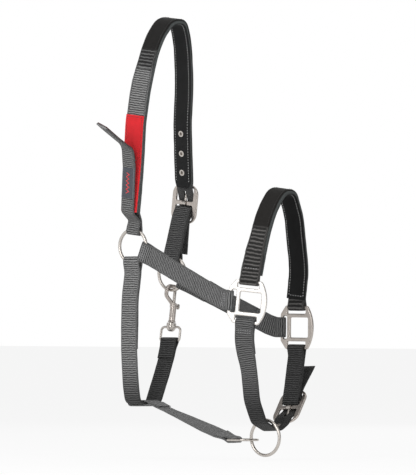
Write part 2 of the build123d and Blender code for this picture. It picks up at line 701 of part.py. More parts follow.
chin_run = chin_bottom[0][0] - chin_bottom[1][0]
chin_fall = chin_bottom[1][1] - chin_bottom[0][1]
strap_top = chin_bottom[1][1] - (jowl_y - chin_bottom[1][0]) * chin_fall / chin_run
ring_chord = sqrt(chin_ring_radius ** 2 - (strap_width / 2) ** 2)
wire_high = ring_wire / 2 * chin_ring_radius / ring_chord
chin_pitch = atan2(chin_fall, chin_run)
wire_rest = hypot(ring_wire / 2 * tan(chin_pitch), wire_high) + touch / cos(chin_pitch)
chin_ring_centre = at(chin_plane, jowl_y, strap_top + wire_rest - ring_chord)
with BuildPart(Plane(origin=chin_ring_centre, z_dir=(0, 1, 0))) as chin_ring:
    Torus(chin_ring_radius, ring_wire / 2)
save(chin_ring.part, "chin_ring")


# ---- jowl link and jowl strap ----------------------------------------------------------------------
link_z = chin_ring_centre.Z - 3.0
link_slack = 0.6
link_front = chin_ring_centre.X - chin_ring_radius + ring_wire / 2 + link_slack + link_wire / 2
link_rear = link_front - link_length + link_wire
link_side = link_inner_width / 2 + link_wire / 2
link_bends = [3.0, 11.0]   # square at the strap's end and round at the ring's
with BuildPart() as jowl_link:
    with BuildLine():
        path = FilletPolyline(
            (link_rear, jowl_y, link_z),
            (link_rear, jowl_y + link_side, link_z),
            (link_front, jowl_y + link_side, link_z),
            (link_front, jowl_y, link_z),
            radius=link_bends,
        )
    with BuildSketch(Plane(origin=path @ 0, z_dir=path % 0)):
        Circle(link_wire / 2)
    sweep()
    mirror(about=Plane(origin=(0, jowl_y, 0), z_dir=(0, 1, 0)))
save(jowl_link.part, "jowl_link")

throat_bottom = -473.0     # outer face of the throat strap at its lowest run
jowl_plane = Plane(origin=(0, jowl_y, 0), x_dir=(1, 0, 0), z_dir=(0, -1, 0))
sleeve_z = throat_bottom - web / 2
sleeve_length = strap_width + 2 * fit + 0.8
sleeve_height = web + 2 * fit
sleeve_front = ring_x + sleeve_length / 2 + web
jowl_curve = 12.0          # radius of the strap's bend in front of the sleeve
jowl_start = (sleeve_front - lap, sleeve_z)
jowl_bend = (sleeve_front + 5, sleeve_z)
jowl_fall = atan2(link_z - sleeve_z, link_rear - jowl_bend[0])
jowl_loop = Plane(
    origin=(link_rear, jowl_y, link_z), x_dir=(-cos(jowl_fall), 0, -sin(jowl_fall)), z_dir=(0, -1, 0)
)
jowl_end = (link_rear - cos(jowl_fall) * (loop_reach - 1), link_z - sin(jowl_fall) * (loop_reach - 1))
jowl_route = [jowl_start, jowl_bend, jowl_end]
with BuildPart() as jowl_strap:
    with BuildSketch(jowl_plane):
        with Locations((ring_x, sleeve_z)):
            RectangleRounded(sleeve_length + 2 * web, sleeve_height + 2 * web, web)
            RectangleRounded(sleeve_length, sleeve_height, 0.8, mode=Mode.SUBTRACT)
    extrude(amount=strap_width / 2, both=True)
    extrude(layer(jowl_plane, jowl_route, jowl_curve, 0, -web), amount=strap_width / 2, both=True)
    seam = (jowl_bend[0] + fold * 0.8 * cos(jowl_fall), jowl_bend[1] + fold * 0.8 * sin(jowl_fall))
    doubled = layer(jowl_plane, [jowl_start, jowl_bend, seam], jowl_curve, 0, web)
    extrude(doubled, amount=strap_width / 2, both=True)
    tail = (jowl_end[0] - fold * cos(jowl_fall), jowl_end[1] - fold * sin(jowl_fall))
    extrude(layer(jowl_plane, [tail, jowl_end], None, 0, web), amount=strap_width / 2, both=True)
    add(bar_loop(jowl_loop, link_wire, strap_width))
save(jowl_strap.part, "jowl_strap")


# ---- bolt snap: its frame has z up its axis and x towards the hook's arm ----------------------------
snap_tilt = radians(9.9)
snap_turn = radians(70.0)  # the hook's plane, turned from the halter's length
barrel_radius = 4.0
barrel_length = 22.8
flange = 1.5
flange_gap = 1.2           # between the barrel's flange and the swivel's dome
pivot_pin = 6.0            # below the barrel, into the dome
pivot_bore = 4.5
dome_radius = 6.0
dome_height = 10.5
dome_top = -barrel_length - flange - flange_gap
dome_bottom = dome_top - dome_height
eye_wire = 3.0
eye_window = 27.0
eye_height = 16.9
eye_bends = [5.0, 2.0]
eye_drop = 11.3 - dome_bottom        # from the barrel's top to the middle of the eye's lower bar
bolt_radius = 2.0
bolt_room = 0.1
hook_wire = 5.0
hook_reach = 12.3          # from the bolt's axis to the middle of the arm
hook_top = 20.7
hang_gap = 0.75            # the ring's wire curves up beside the hook
hang = (6.5, hook_top - hook_wire / 2 - hang_gap - ring_wire / 2)   # where the ring's wire lies in the hook
knob_at = -4.6
knob_stem = 3.0
knob_reach = 7.0
bolt_travel = 7.0
bolt_end = -11.5

snap_up = Vector(0, sin(snap_tilt), cos(snap_tilt))
arm_flat = Vector(-cos(snap_turn), -sin(snap_turn), 0)
snap_arm = (arm_flat - snap_up * arm_flat.dot(snap_up)).normalized()
ring_low = Vector(ring_x, ring_y, left_ring_z - cheek_ring_radius)
snap_spot = ring_low - snap_up * hang[1] - snap_arm * hang[0]
snap_top = Vector(ring_x, snap_spot.Y, snap_spot.Z)
snap_plane = Plane(origin=snap_top, x_dir=snap_arm, z_dir=snap_up)
hook_plane = Plane(origin=snap_top, x_dir=snap_arm, z_dir=snap_arm.cross(snap_up))
knob_plane = Plane(origin=snap_top, x_dir=snap_plane.y_dir * -1, z_dir=snap_arm * -1)
eye_plane = Plane(origin=snap_top, x_dir=(1, 0, 0), z_dir=Vector(1, 0, 0).cross(snap_up))

with BuildPart() as snap_body:
    with BuildSketch(snap_plane):
        Circle(barrel_radius)
    extrude(amount=-barrel_length)
    with BuildLine(hook_plane):
        arm = FilletPolyline(
            (2.4, -6.0), (2.4, -1.0), (hook_reach, 8.0), (hook_reach, hook_top), (0.4, hook_top),
            radius=[5, 5, 6.2],
        )
    with BuildSketch(Plane(origin=arm @ 0, z_dir=arm % 0)):
        Circle(hook_wire / 2)
    sweep(path=arm)
    with BuildSketch(snap_plane.offset(-barrel_length)):
        Circle(barrel_radius + 1.0)
    extrude(amount=-flange)
    with BuildSketch(snap_plane.offset(-barrel_length)):
        Circle(bolt_radius)
    extrude(amount=-pivot_pin)
    with BuildSketch(snap_plane.offset(-barrel_length + 1.0)):
        Circle(bolt_radius + bolt_room)
    extrude(amount=barrel_length + 2.5, mode=Mode.SUBTRACT)
    with BuildSketch(knob_plane):
        with Locations((0, knob_at - bolt_travel / 2)):
            SlotOverall(bolt_travel + knob_stem + 4 * bolt_room, knob_stem + 4 * bolt_room, rotation=90)
    extrude(amount=2 * barrel_radius, mode=Mode.SUBTRACT)
save(snap_body.part, "snap_body")

with BuildPart() as snap_bolt:
    with BuildSketch(snap_plane.offset(bolt_end)):
        Circle(bolt_radius)
    extrude(amount=hook_top - hook_wire / 2 - touch - bolt_end)
    with BuildSketch(knob_plane):
        with Locations((0, knob_at)):
            Circle(knob_stem / 2)
    extrude(amount=knob_reach)
    with BuildSketch(knob_plane.offset(knob_reach - 1.0)):
        with Locations((0, (knob_at + 1.0))):
            SlotOverall(7.0, 4.4, rotation=90)
    extrude(amount=2.2)
    fillet(snap_bolt.faces().sort_by(Axis((0, 0, 0), knob_plane.z_dir))[-1].edges(), 0.9)
save(snap_bolt.part, "snap_bolt")

spring_wire = 0.5
spring_gap = 0.15
with BuildPart() as snap_spring:
    spring_foot = -barrel_length + 1.0 + spring_wire / 2 + spring_gap
    spring_top = bolt_end - spring_wire / 2 - spring_gap
    with BuildLine():
        foot = snap_top + snap_up * spring_foot
        coil = Helix(pitch=1.8, height=spring_top - spring_foot, radius=1.5, center=foot, direction=snap_up)
    with BuildSketch(Plane(origin=coil @ 0, z_dir=coil % 0)):
        Circle(spring_wire / 2)
    sweep(path=coil, is_frenet=True)
save(snap_spring.part, "snap_spring")

with BuildPart() as snap_swivel_eye:
    with BuildSketch(eye_plane):
        with BuildLine():
            Polyline(
                (0, dome_bottom), (0, dome_top), (dome_radius, dome_top), (dome_radius, dome_bottom + 4.5),
                (dome_radius - 1.5, dome_bottom + 1.5), (dome_radius - 3.5, dome_bottom), close=True,
            )
        make_face()
    revolve(axis=Axis(snap_top, snap_up))
    with BuildSketch(snap_plane.offset(dome_top)):
        Circle(bolt_radius + bolt_room)
    extrude(amount=-pivot_bore, mode=Mode.SUBTRACT)
    half_eye = eye_window / 2 + eye_wire / 2
    with BuildLine(eye_plane):
        wire = FilletPolyline(
            (0, eye_height - eye_drop), (half_eye, eye_height - eye_drop),
            (half_eye, -eye_drop), (0, -eye_drop),
            radius=eye_bends,
        )
    with BuildSketch(Plane(origin=wire @ 0, z_dir=wire % 0)):
        Circle(eye_wire / 2)
    sweep(path=wire)
    mirror(about=Plane(origin=(ring_x, 0, 0), z_dir=(1, 0, 0)))
save(snap_swivel_eye.part, "snap_swivel_eye")


# ---- throat strap ----------------------------------------------------------------------------------
eye_bar = snap_top - snap_up * eye_drop
throat_foot = right_ring_z - cheek_ring_radius - loop_reach + lap
throat_rise = [(0.5, throat_bottom), (25.4, -421.0)]
eye_pull = Vector(0, throat_rise[1][0] - eye_bar.Y, throat_rise[1][1] - eye_bar.Z).normalized()
eye_loop = Plane(origin=eye_bar, x_dir=eye_pull, z_dir=(1, 0, 0))
throat_head = eye_bar + eye_pull * (loop_reach - 1)
throat_route = [
    (-ring_y, throat_foot), (-ring_y, throat_foot - 4), (-45.5, -345), (-46.5, -406), (-43, -450),
    (-38, throat_bottom), *throat_rise, (throat_head.Y, throat_head.Z),
]
throat_bends = [10, 150, 200, 80, 8, 8, 20]
with BuildPart() as throat_strap:
    add(ring_loop(right_ring, -90, strap_width, wide_spread))
    extrude(layer(throat_plane, throat_route, throat_bends, 0, -web), amount=strap_width / 2, both=True)
    doubled = layer(throat_plane, throat_route[:4], throat_bends[:2], 0, web)
    extrude(doubled, amount=strap_width / 2, both=True)
    add(bar_loop(eye_loop, eye_wire, strap_width))
save(throat_strap.part, "throat_strap")
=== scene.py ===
"""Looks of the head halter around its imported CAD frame: webbing, linings, thread, metal and light."""
import bpy
import bmesh
from math import acos, atan2, cos, exp, hypot, pi, radians, sin, tan
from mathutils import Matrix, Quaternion, Vector, noise


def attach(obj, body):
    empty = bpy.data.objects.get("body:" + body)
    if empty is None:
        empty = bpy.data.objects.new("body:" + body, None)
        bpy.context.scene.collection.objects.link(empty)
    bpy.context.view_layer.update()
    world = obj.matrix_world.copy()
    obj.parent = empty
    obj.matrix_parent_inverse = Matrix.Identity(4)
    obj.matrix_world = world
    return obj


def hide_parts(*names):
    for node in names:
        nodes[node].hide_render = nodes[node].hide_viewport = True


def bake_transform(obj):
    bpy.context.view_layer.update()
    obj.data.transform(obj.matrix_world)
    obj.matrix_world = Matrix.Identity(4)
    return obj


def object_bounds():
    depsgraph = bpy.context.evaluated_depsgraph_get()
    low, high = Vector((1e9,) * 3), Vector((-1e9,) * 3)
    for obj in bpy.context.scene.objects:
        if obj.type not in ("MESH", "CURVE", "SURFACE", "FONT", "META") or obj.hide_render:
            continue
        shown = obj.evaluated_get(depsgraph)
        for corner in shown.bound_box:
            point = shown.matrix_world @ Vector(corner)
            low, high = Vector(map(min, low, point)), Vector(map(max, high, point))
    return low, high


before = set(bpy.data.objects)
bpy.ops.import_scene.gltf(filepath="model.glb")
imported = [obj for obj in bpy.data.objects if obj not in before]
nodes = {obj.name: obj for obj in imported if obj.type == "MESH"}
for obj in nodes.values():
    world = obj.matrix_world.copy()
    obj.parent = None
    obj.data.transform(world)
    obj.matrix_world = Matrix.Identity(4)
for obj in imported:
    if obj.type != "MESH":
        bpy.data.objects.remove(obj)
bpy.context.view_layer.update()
MM = 0.001

# ---- dimensions, in millimetres, as in the CAD source --------------------------------------------
WEB, WIDTH, TAB_WIDTH, TOUCH, FIT = 2.2, 25.0, 20.0, 0.3, 0.4
REACH, FOLD, LAP = 10.0, 30.0, 0.5
CROWN_PAD, CROWN_PAD_WIDTH, NOSE_PAD, NOSE_PAD_WIDTH = 5.0, 26.5, 5.0, 29.0
PATCH, LABEL = 1.2, 0.6
RING_WIRE, CHEEK_RING = 4.0, 21.0
OUTER_BAR, EYE_WIRE, LINK_WIRE, BUCKLE_BAR = 4.0, 3.0, 3.0, 3.0
RIGHT_RING = Vector((-32.5, -39.6, -278.0))
LEFT_RING = Vector((-32.5, 39.6, -312.0))
SQUARE_BACK = 26.75
SQUARE_UP = 25.25
SLOT_BACK = 4.0
WIDE_SAG, TAB_SAG = 4.1, 2.5
CROWN_TWIST, FLAP_TWIST, JOWL_ROLL = 14.0, 16.0, 15.0  # degrees
NOSE_IN, CHIN_IN = radians(13.0), radians(4.5)
TAB_LEAN = 6.668  # degrees, also the crown's

# Stitches: pitch and length
SEAM_STITCH, END_STITCH = (3.1, 2.1), (2.9, 2.1)
LINING_STITCH, PATCH_STITCH = (3.4, 2.2), (2.7, 1.9)
LINING_THREAD = 0.5

# Looks of the crown's webbing, and where its painted shade begins, as distances from its right end
PAINTED_SHADE_FROM, COARSE_FROM, SLEEK_FROM, COARSE_TO, SLEEK_TO = 176, 178, 203, 208, 330


def clamped(value):
    return min(1, max(0, value))


class Plane:
    """A drawing plane: x and y lie in it, z is across it."""

    def __init__(self, origin, x, z):
        self.o = Vector(origin)
        self.x = Vector(x).normalized()
        self.z = Vector(z).normalized()
        self.y = self.z.cross(self.x)

    def at(self, x, y, z=0.0):
        return self.o + self.x * x + self.y * y + self.z * z


def across(x, z, lean):
    a = radians(lean)
    return Plane((x, 0, z), (0, 1, 0), (cos(a), 0, -sin(a)))


crown = across(0, 0, TAB_LEAN)
nose = across(172.0, -208.0, 5.9)
chin = across(142.4, 0, -2.0)
throat = across(-32.5, 0, 0)
right_square = Plane((161.545, -50.4, -347.5), (0.93487, 0.34027, -0.10113), (0.34202, -0.93969, 0))
left_square = Plane((160.727, 50.4, -379.0), (0.99996, 0, -0.0083), (0, -1, 0))
crown_buckle = Plane((-26.532, 57.4, -226.954), (0.11612, 0, 0.99324), (0, 1, 0))
chin_buckle = Plane((159.012, 34.4, -475.71), (0.028, -0.59622, -0.8023), (0.0208, 0.80282, -0.5959))


# ---- routes --------------------------------------------------------------------------------------
def rounded(points, radii, step=1.2):
    """Points along a run of straight stretches whose corners are rounded."""
    points = [Vector(p) for p in points]
    radii = radii if isinstance(radii, (list, tuple)) else [radii] * (len(points) - 2)
    out = [points[0]]
    for before, corner, after, radius in zip(points, points[1:], points[2:], radii):
        back = (before - corner).normalized()
        on = (after - corner).normalized()
        turn = pi - back.angle(on)
        if turn < 1e-3 or radius <= 0:
            out.append(corner)
            continue
        run = radius * tan(turn / 2)
        centre = corner + (back + on).normalized() * (radius / cos(turn / 2))
        first, last = corner + back * run - centre, corner + on * run - centre
        count = max(3, int(turn * radius / step))
        for k in range(count + 1):
            out.append(centre + first.slerp(last, k / count).normalized() * radius)
    out.append(points[-1])
    return out


def shifted(points, ways, distance):
    """Points moved along ways x tangent."""
    out = []
    for k, p in enumerate(points):
        tangent = (points[min(k + 1, len(points) - 1)] - points[max(k - 1, 0)]).normalized()
        way = ways if isinstance(ways, Vector) else ways[k]
        out.append(p + way.cross(tangent).normalized() * distance)
    return out


def on_plane(plane, points, radii, way, distance=0.0):
    """Rounded route drawn on a plane, moved to one side, with its width direction."""
    flat = rounded([plane.at(*p) for p in points], radii)
    return [(p, way) for p in shifted(flat, way, distance)]


def loop(origin, pull, side, bar, way, reach=REACH, sag=0.0):
    """Strap round a bar: in on the -side leg, round the bar and out on the +side leg. Round a ring it
    is longer by the ring's sag over the strap's width."""
    radius = bar / 2 + FIT + WEB / 2
    spread = hypot(reach, WEB / 2)
    turn = atan2(WEB / 2, reach) + acos(min(1, radius / spread))
    out = [(origin + pull * reach - side * (WEB / 2), way)]
    count = 22
    for k in range(count + 1):
        a = -turn - (2 * pi - 2 * turn) * k / count
        along = radius * cos(a) - (sag if cos(a) < 0 else 0)
        out.append((origin + pull * along + side * (radius * sin(a)), way))
    out.append((origin + pull * reach + side * (WEB / 2), way))
    return out


def blended(start, end, count=14):
    """Stretch between two (point, width way) ends, whose width way turns evenly."""
    return [
        (start[0].lerp(end[0], k / count), start[1].lerp(end[1], k / count).normalized())
        for k in range(1, count)
    ]


def curved(start, end, leave, arrive, count=26):
    """Smooth stretch between two ends that leaves and arrives along given directions."""
    reach = (end[0] - start[0]).length
    out = []
    for k in range(1, count):
        t = k / count
        p = start[0] * (2 * t ** 3 - 3 * t ** 2 + 1) + leave * (reach * (t ** 3 - 2 * t ** 2 + t))
        p = p + end[0] * (3 * t ** 2 - 2 * t ** 3) + arrive * (reach * (t ** 3 - t ** 2))
        turn = t * t * (3 - 2 * t)
        out.append((p, start[1].lerp(end[1], turn).normalized()))
    return out


def along_segment(a, b, height):
    share = (height - a[1]) / (b[1] - a[1])
    return (a[0] + share * (b[0] - a[0]), height)


def frames_of(path, step=1.3, soften=2):
    """Evenly spaced (point, tangent, width way, normal, distance) along a path."""
    tidy = [path[0]]
    for q in path[1:]:
        if (q[0] - tidy[-1][0]).length > 1e-3:
            tidy.append(q)
    lengths = [0.0]
    for a, b in zip(tidy, tidy[1:]):
        lengths.append(lengths[-1] + (b[0] - a[0]).length)
    total = lengths[-1]
    count = max(4, int(total / step))
    spots, j = [], 0
    for k in range(count + 1):
        d = total * k / count
        while j < len(tidy) - 2 and lengths[j + 1] < d:
            j += 1
        share = (d - lengths[j]) / (lengths[j + 1] - lengths[j])
        a, b = tidy[j], tidy[j + 1]
        spots.append([a[0].lerp(b[0], share), a[1].lerp(b[1], share)])
    for _ in range(soften):
        moved = [s[0].copy() for s in spots]
        for k in range(1, count):
            moved[k] = (spots[k - 1][0] + spots[k][0] * 2 + spots[k + 1][0]) / 4
        for s, p in zip(spots, moved):
            s[0] = p
    out = []
    for k, (p, way) in enumerate(spots):
        tangent = (spots[min(k + 1, count)][0] - spots[max(k - 1, 0)][0]).normalized()
        way = (way - tangent * way.dot(tangent)).normalized()
        out.append((p, tangent, way, way.cross(tangent), total * k / count))
    return out


def at_distance(frames, d):
    """Frame at a distance along a path."""
    step = frames[1][4] - frames[0][4]
    k = min(max(d / step, 0), len(frames) - 1.001)
    a, b, share = frames[int(k)], frames[int(k) + 1], k - int(k)
    return tuple(x.lerp(y, share) for x, y in zip(a[:4], b[:4])) + (d,)


def spot(f, s, n):
    """Point of a strap, s across and n out from its middle line."""
    return f[0] + f[2] * s + f[3] * n


def twisted(frames, first=0.0, last=1e9):
    """Frames turned about their own line: the crown's right leg, and the flap of the safety tab."""
    out = []
    for f in frames:
        z, turn = f[0].z, 0.0
        if -63 <= f[0].y < -20 and first <= f[4] <= last:
            turn = CROWN_TWIST * clamped((-45 - z) / 30) * clamped((z + 236) / 60)
        if f[0].y < -63:
            turn = -FLAP_TWIST * min(1, (-63 - f[0].y) / 14)
        axis = f[1] if f[1].z > 0 else -f[1]
        spin = Quaternion(axis, radians(turn))
        out.append((f[0], f[1], spin @ f[2], spin @ f[3], f[4]))
    return out


# ---- strap meshes --------------------------------------------------------------------------------
def flat_section(width, thick, near=None, bulge=0.12):
    """Closed outline of webbing: (across, out) points, top side first."""
    near = -thick / 2 if near is None else near
    half, r = width / 2, thick * 0.42
    top = [(-half + r + (width - 2 * r) * k / 10, near + thick) for k in range(11)]
    top = [(s, n + bulge * (1 - (s / half) ** 2)) for s, n in top]
    turns = (pi / 4, pi / 2, 3 * pi / 4)
    right = [(half - r + r * sin(a), near + thick / 2 + (thick / 2) * cos(a)) for a in turns]
    low = [(-s, 2 * near + thick - n) for s, n in top]
    left = [(-s, 2 * near + thick - n) for s, n in right]
    return top + right + low + left


def pad_section(width, thick, top_at=0.0):
    """Closed outline of a sewn padded lining, flat against the webbing and rounded towards the horse."""
    half, seam = width / 2, width / 2 - 3.4
    out = [(s, top_at) for s in (-half + 1.2, -half * 0.5, 0, half * 0.5, half - 1.2)]
    depth = thick + top_at
    steps = ((0.25, 0.25), (0, 0.5), (0.35, 0.78))
    edge = [(half - inset, top_at - share * depth) for inset, share in steps]
    out += edge
    low = []
    for k in range(17):
        s = (half - 1.2) * (1 - k / 8)
        groove = 0.75 * exp(-((abs(s) - seam) / 0.7) ** 2)
        swell = 0.55 * (1 - (s / seam) ** 2) if abs(s) < seam else 0.0
        low.append((s, -thick + 0.35 + groove - swell))
    return out + low + [(-s, n) for s, n in reversed(edge)]


def ribbon(name, frames, section, material, zones=None,
           wobble=0.16, start=0.0, hem=0.0, ribbed=False):
    """Strap mesh along frames. section is an outline, or a function of the share along the strap."""
    bm = bmesh.new()
    weave = bm.loops.layers.uv.new("weave")
    face_side = bm.verts.layers.float.new("side")
    smooth_zone = bm.verts.layers.float.new("plain")
    coarse_zone = bm.verts.layers.float.new("coarse")
    painted_shade_zone = bm.verts.layers.float.new("painted_shade")
    rows, uv = [], {}
    total = frames[-1][4]
    for f in frames:
        outline = section(f[4] / total) if callable(section) else section
        middle = (max(n for _, n in outline) + min(n for _, n in outline)) / 2
        half = max(s for s, _ in outline)
        row = []
        d = f[4] + start
        drift = noise.noise(Vector((d * 0.035, start, 3.1))) * wobble * 1.6
        left = min(f[4], total - f[4])
        thin = 1.0 - 0.6 * max(0.0, 1 - left / hem) if hem else 1.0
        for s, n in outline:
            n *= thin
            edge = noise.noise(Vector((d * 0.11, s * 0.05, start))) * wobble * (abs(s) / half) ** 3
            lift = noise.noise(Vector((d * 0.06, s * 0.09, start + 9))) * wobble
            p = spot(f, s + (edge if s > 0 else -edge), n + lift)
            v = bm.verts.new((p + f[3] * drift) * MM)
            v[face_side] = 1.0 if ribbed or n > middle + 0.1 else (-1.0 if n < middle - 0.1 else 0.0)
            # zones give the plain and coarse weave and a painted shade factor that darkens the colour
            plain, coarse, painted_shade = zones(f[4], f[0]) if zones else (0.0, 0.0, 1.0)
            v[smooth_zone], v[coarse_zone], v[painted_shade_zone] = plain, coarse, painted_shade
            uv[v] = (s, d)
            row.append(v)
        rows.append(row)
    size = len(rows[0])
    for a, b in zip(rows, rows[1:]):
        for k in range(size):
            bm.faces.new((a[k], a[(k + 1) % size], b[(k + 1) % size], b[k]))
    bm.faces.new(list(reversed(rows[0])))
    bm.faces.new(rows[-1])
    for face in bm.faces:
        face.smooth = len(face.verts) == 4
        for corner in face.loops:
            corner[weave].uv = uv[corner.vert]
    bmesh.ops.recalc_face_normals(bm, faces=bm.faces)
    return finished(bm, name, material)


def finished(bm, name, material):
    mesh = bpy.data.meshes.new(name)
    bm.to_mesh(mesh)
    bm.free()
    piece = bpy.data.objects.new(name, mesh)
    bpy.context.scene.collection.objects.link(piece)
    mesh.materials.append(material)
    return piece


def capsule(bm, a, b, radius, out, sides=6):
    """Stitch of thread from a to b, raised in its middle."""
    along = (b - a).normalized()
    side = along.cross(out).normalized()
    up = side.cross(along)
    rings = []
    profile = ((0.0, 0.45, -0.5), (0.15, 0.85, 0.1), (0.5, 1.0, 0.35), (0.85, 0.85, 0.1), (1.0, 0.45, -0.5))
    for share, size, rise in profile:
        c = a.lerp(b, share) + up * (radius * rise)
        ring = []
        for k in range(sides):
            angle = 2 * pi * k / sides
            spoke = side * cos(angle) + up * sin(angle) * 0.8
            ring.append(bm.verts.new((c + spoke * radius * size) * MM))
        rings.append(ring)
    for p, q in zip(rings, rings[1:]):
        for k in range(sides):
            bm.faces.new((p[k], p[(k + 1) % sides], q[(k + 1) % sides], q[k])).smooth = True
    bm.faces.new(list(reversed(rings[0])))
    bm.faces.new(rings[-1])


def stitching(name, rows, material, radius=0.34):
    """Rows of stitches. A row along a strap is (frames, s, n, from, to, pitch, length). A row across it is
    (frames, None, n, distance, half width, pitch, length)."""
    bm = bmesh.new()
    for frames, s, n, first, last, pitch, length in rows:
        sign = 1 if n > 0 else -1
        if s is None:
            f = at_distance(frames, first)
            count = int(2 * last / pitch)
            for k in range(count):
                middle = -last + (k + 0.5) * 2 * last / count
                a, b = spot(f, middle - length / 2, n), spot(f, middle + length / 2, n)
                capsule(bm, a, b, radius, f[3] * sign)
            continue
        count = int((last - first) / pitch)
        for k in range(count):
            d = first + (k + 0.5) * (last - first) / count
            f, g = at_distance(frames, d - length / 2), at_distance(frames, d + length / 2)
            capsule(bm, spot(f, s, n), spot(g, s, n), radius, f[3] * sign)
    return finished(bm, name, material)


def cut(piece, cutters):
    """Holes through a piece."""
    for k, cutter in enumerate(cutters):
        hole = piece.modifiers.new(f"hole{k}", "BOOLEAN")
        hole.object = cutter
        hole.operation = "DIFFERENCE"
        hole.solver = "EXACT"
    graph = bpy.context.evaluated_depsgraph_get()
    shaped = piece.evaluated_get(graph)
    mesh = bpy.data.meshes.new_from_object(shaped, preserve_all_data_layers=True, depsgraph=graph)
    piece.modifiers.clear()
    piece.data = mesh
    for cutter in cutters:
        bpy.data.objects.remove(cutter)


def drill(origin, along, radius, length, x_way=None, slot=0.0, sides=28):
    """Round or oblong cutter."""
    bm = bmesh.new()
    z = Vector(along).normalized()
    x = Vector(x_way).normalized() if x_way is not None else z.orthogonal().normalized()
    y = z.cross(x)
    rings = []
    for level in (-length, length):
        ring = []
        for k in range(sides):
            a = 2 * pi * k / sides
            push = (slot / 2) * (1 if cos(a) > 0 else -1)
            p = Vector(origin) + z * level + x * (radius * cos(a) + push) + y * (radius * sin(a))
            ring.append(bm.verts.new(p * MM))
        rings.append(ring)
    for k in range(sides):
        after = (k + 1) % sides
        bm.faces.new((rings[0][k], rings[0][after], rings[1][after], rings[1][k]))
    bm.faces.new(list(reversed(rings[0])))
    bm.faces.new(rings[1])
    material = bpy.data.materials.get("cutter") or bpy.data.materials.new("cutter")
    return finished(bm, "cutter", material)


# ---- materials -----------------------------------------------------------------------------------
class Tree:
    """Short hand for a material's nodes."""

    def __init__(self, name):
        self.material = bpy.data.materials.new(name)
        self.material.use_nodes = True
        self.tree = self.material.node_tree
        self.shader = self.tree.nodes["Principled BSDF"]

    def put(self, socket, value):
        if isinstance(value, bpy.types.NodeSocket):
            self.tree.links.new(value, socket)
        elif value is not None:
            socket.default_value = value

    def node(self, kind, inputs=(), out=0, **options):
        made = self.tree.nodes.new("ShaderNode" + kind)
        for key, value in options.items():
            setattr(made, key, value)
        pairs = inputs.items() if isinstance(inputs, dict) else enumerate(inputs)
        for key, value in pairs:
            self.put(made.inputs[key], value)
        return made.outputs[out]

    def math(self, operation, *values, clamp=False):
        return self.node("Math", values, operation=operation, use_clamp=clamp)

    def mix(self, share, a, b):
        made = self.tree.nodes.new("ShaderNodeMix")
        made.data_type = "RGBA"
        self.put(made.inputs["Factor"], share)
        self.put(made.inputs["A"], a)
        self.put(made.inputs["B"], b)
        return made.outputs["Result"]

    def ramp(self, value, low, high):
        return self.node("MapRange", {"Value": value, "From Min": low, "From Max": high})

    def noise(self, scale, detail=3.0, vector=None, rough=0.5):
        inputs = {"Vector": vector, "Scale": scale, "Detail": detail, "Roughness": rough}
        return self.node("TexNoise", inputs)

    def attribute(self, name):
        return self.node("Attribute", out=2, attribute_name=name)

    def set(self, **values):
        for key, value in values.items():
            self.put(self.shader.inputs[key.replace("_", " ")], value)

    def bump(self, height, strength, distance):
        made = self.node("Bump", {"Strength": strength, "Distance": distance * MM, "Height": height})
        self.put(self.shader.inputs["Normal"], made)

    def add(self, a, b, clamp=False):
        return self.math("ADD", a, b, clamp=clamp)

    def times(self, a, b):
        return self.math("MULTIPLY", a, b)

    def less(self, a, b):
        return self.math("SUBTRACT", a, b)

    def weave(self):
        """The strap's own map, and its across and along parts."""
        where = self.node("UVMap", uv_map="weave")
        split = self.tree.nodes.new("ShaderNodeSeparateXYZ")
        self.put(split.inputs[0], where)
        return where, split.outputs[0], split.outputs[1]


def grey(value, warm=0.0):
    return (value * (1 + warm), value, value * (1 - warm), 1.0)


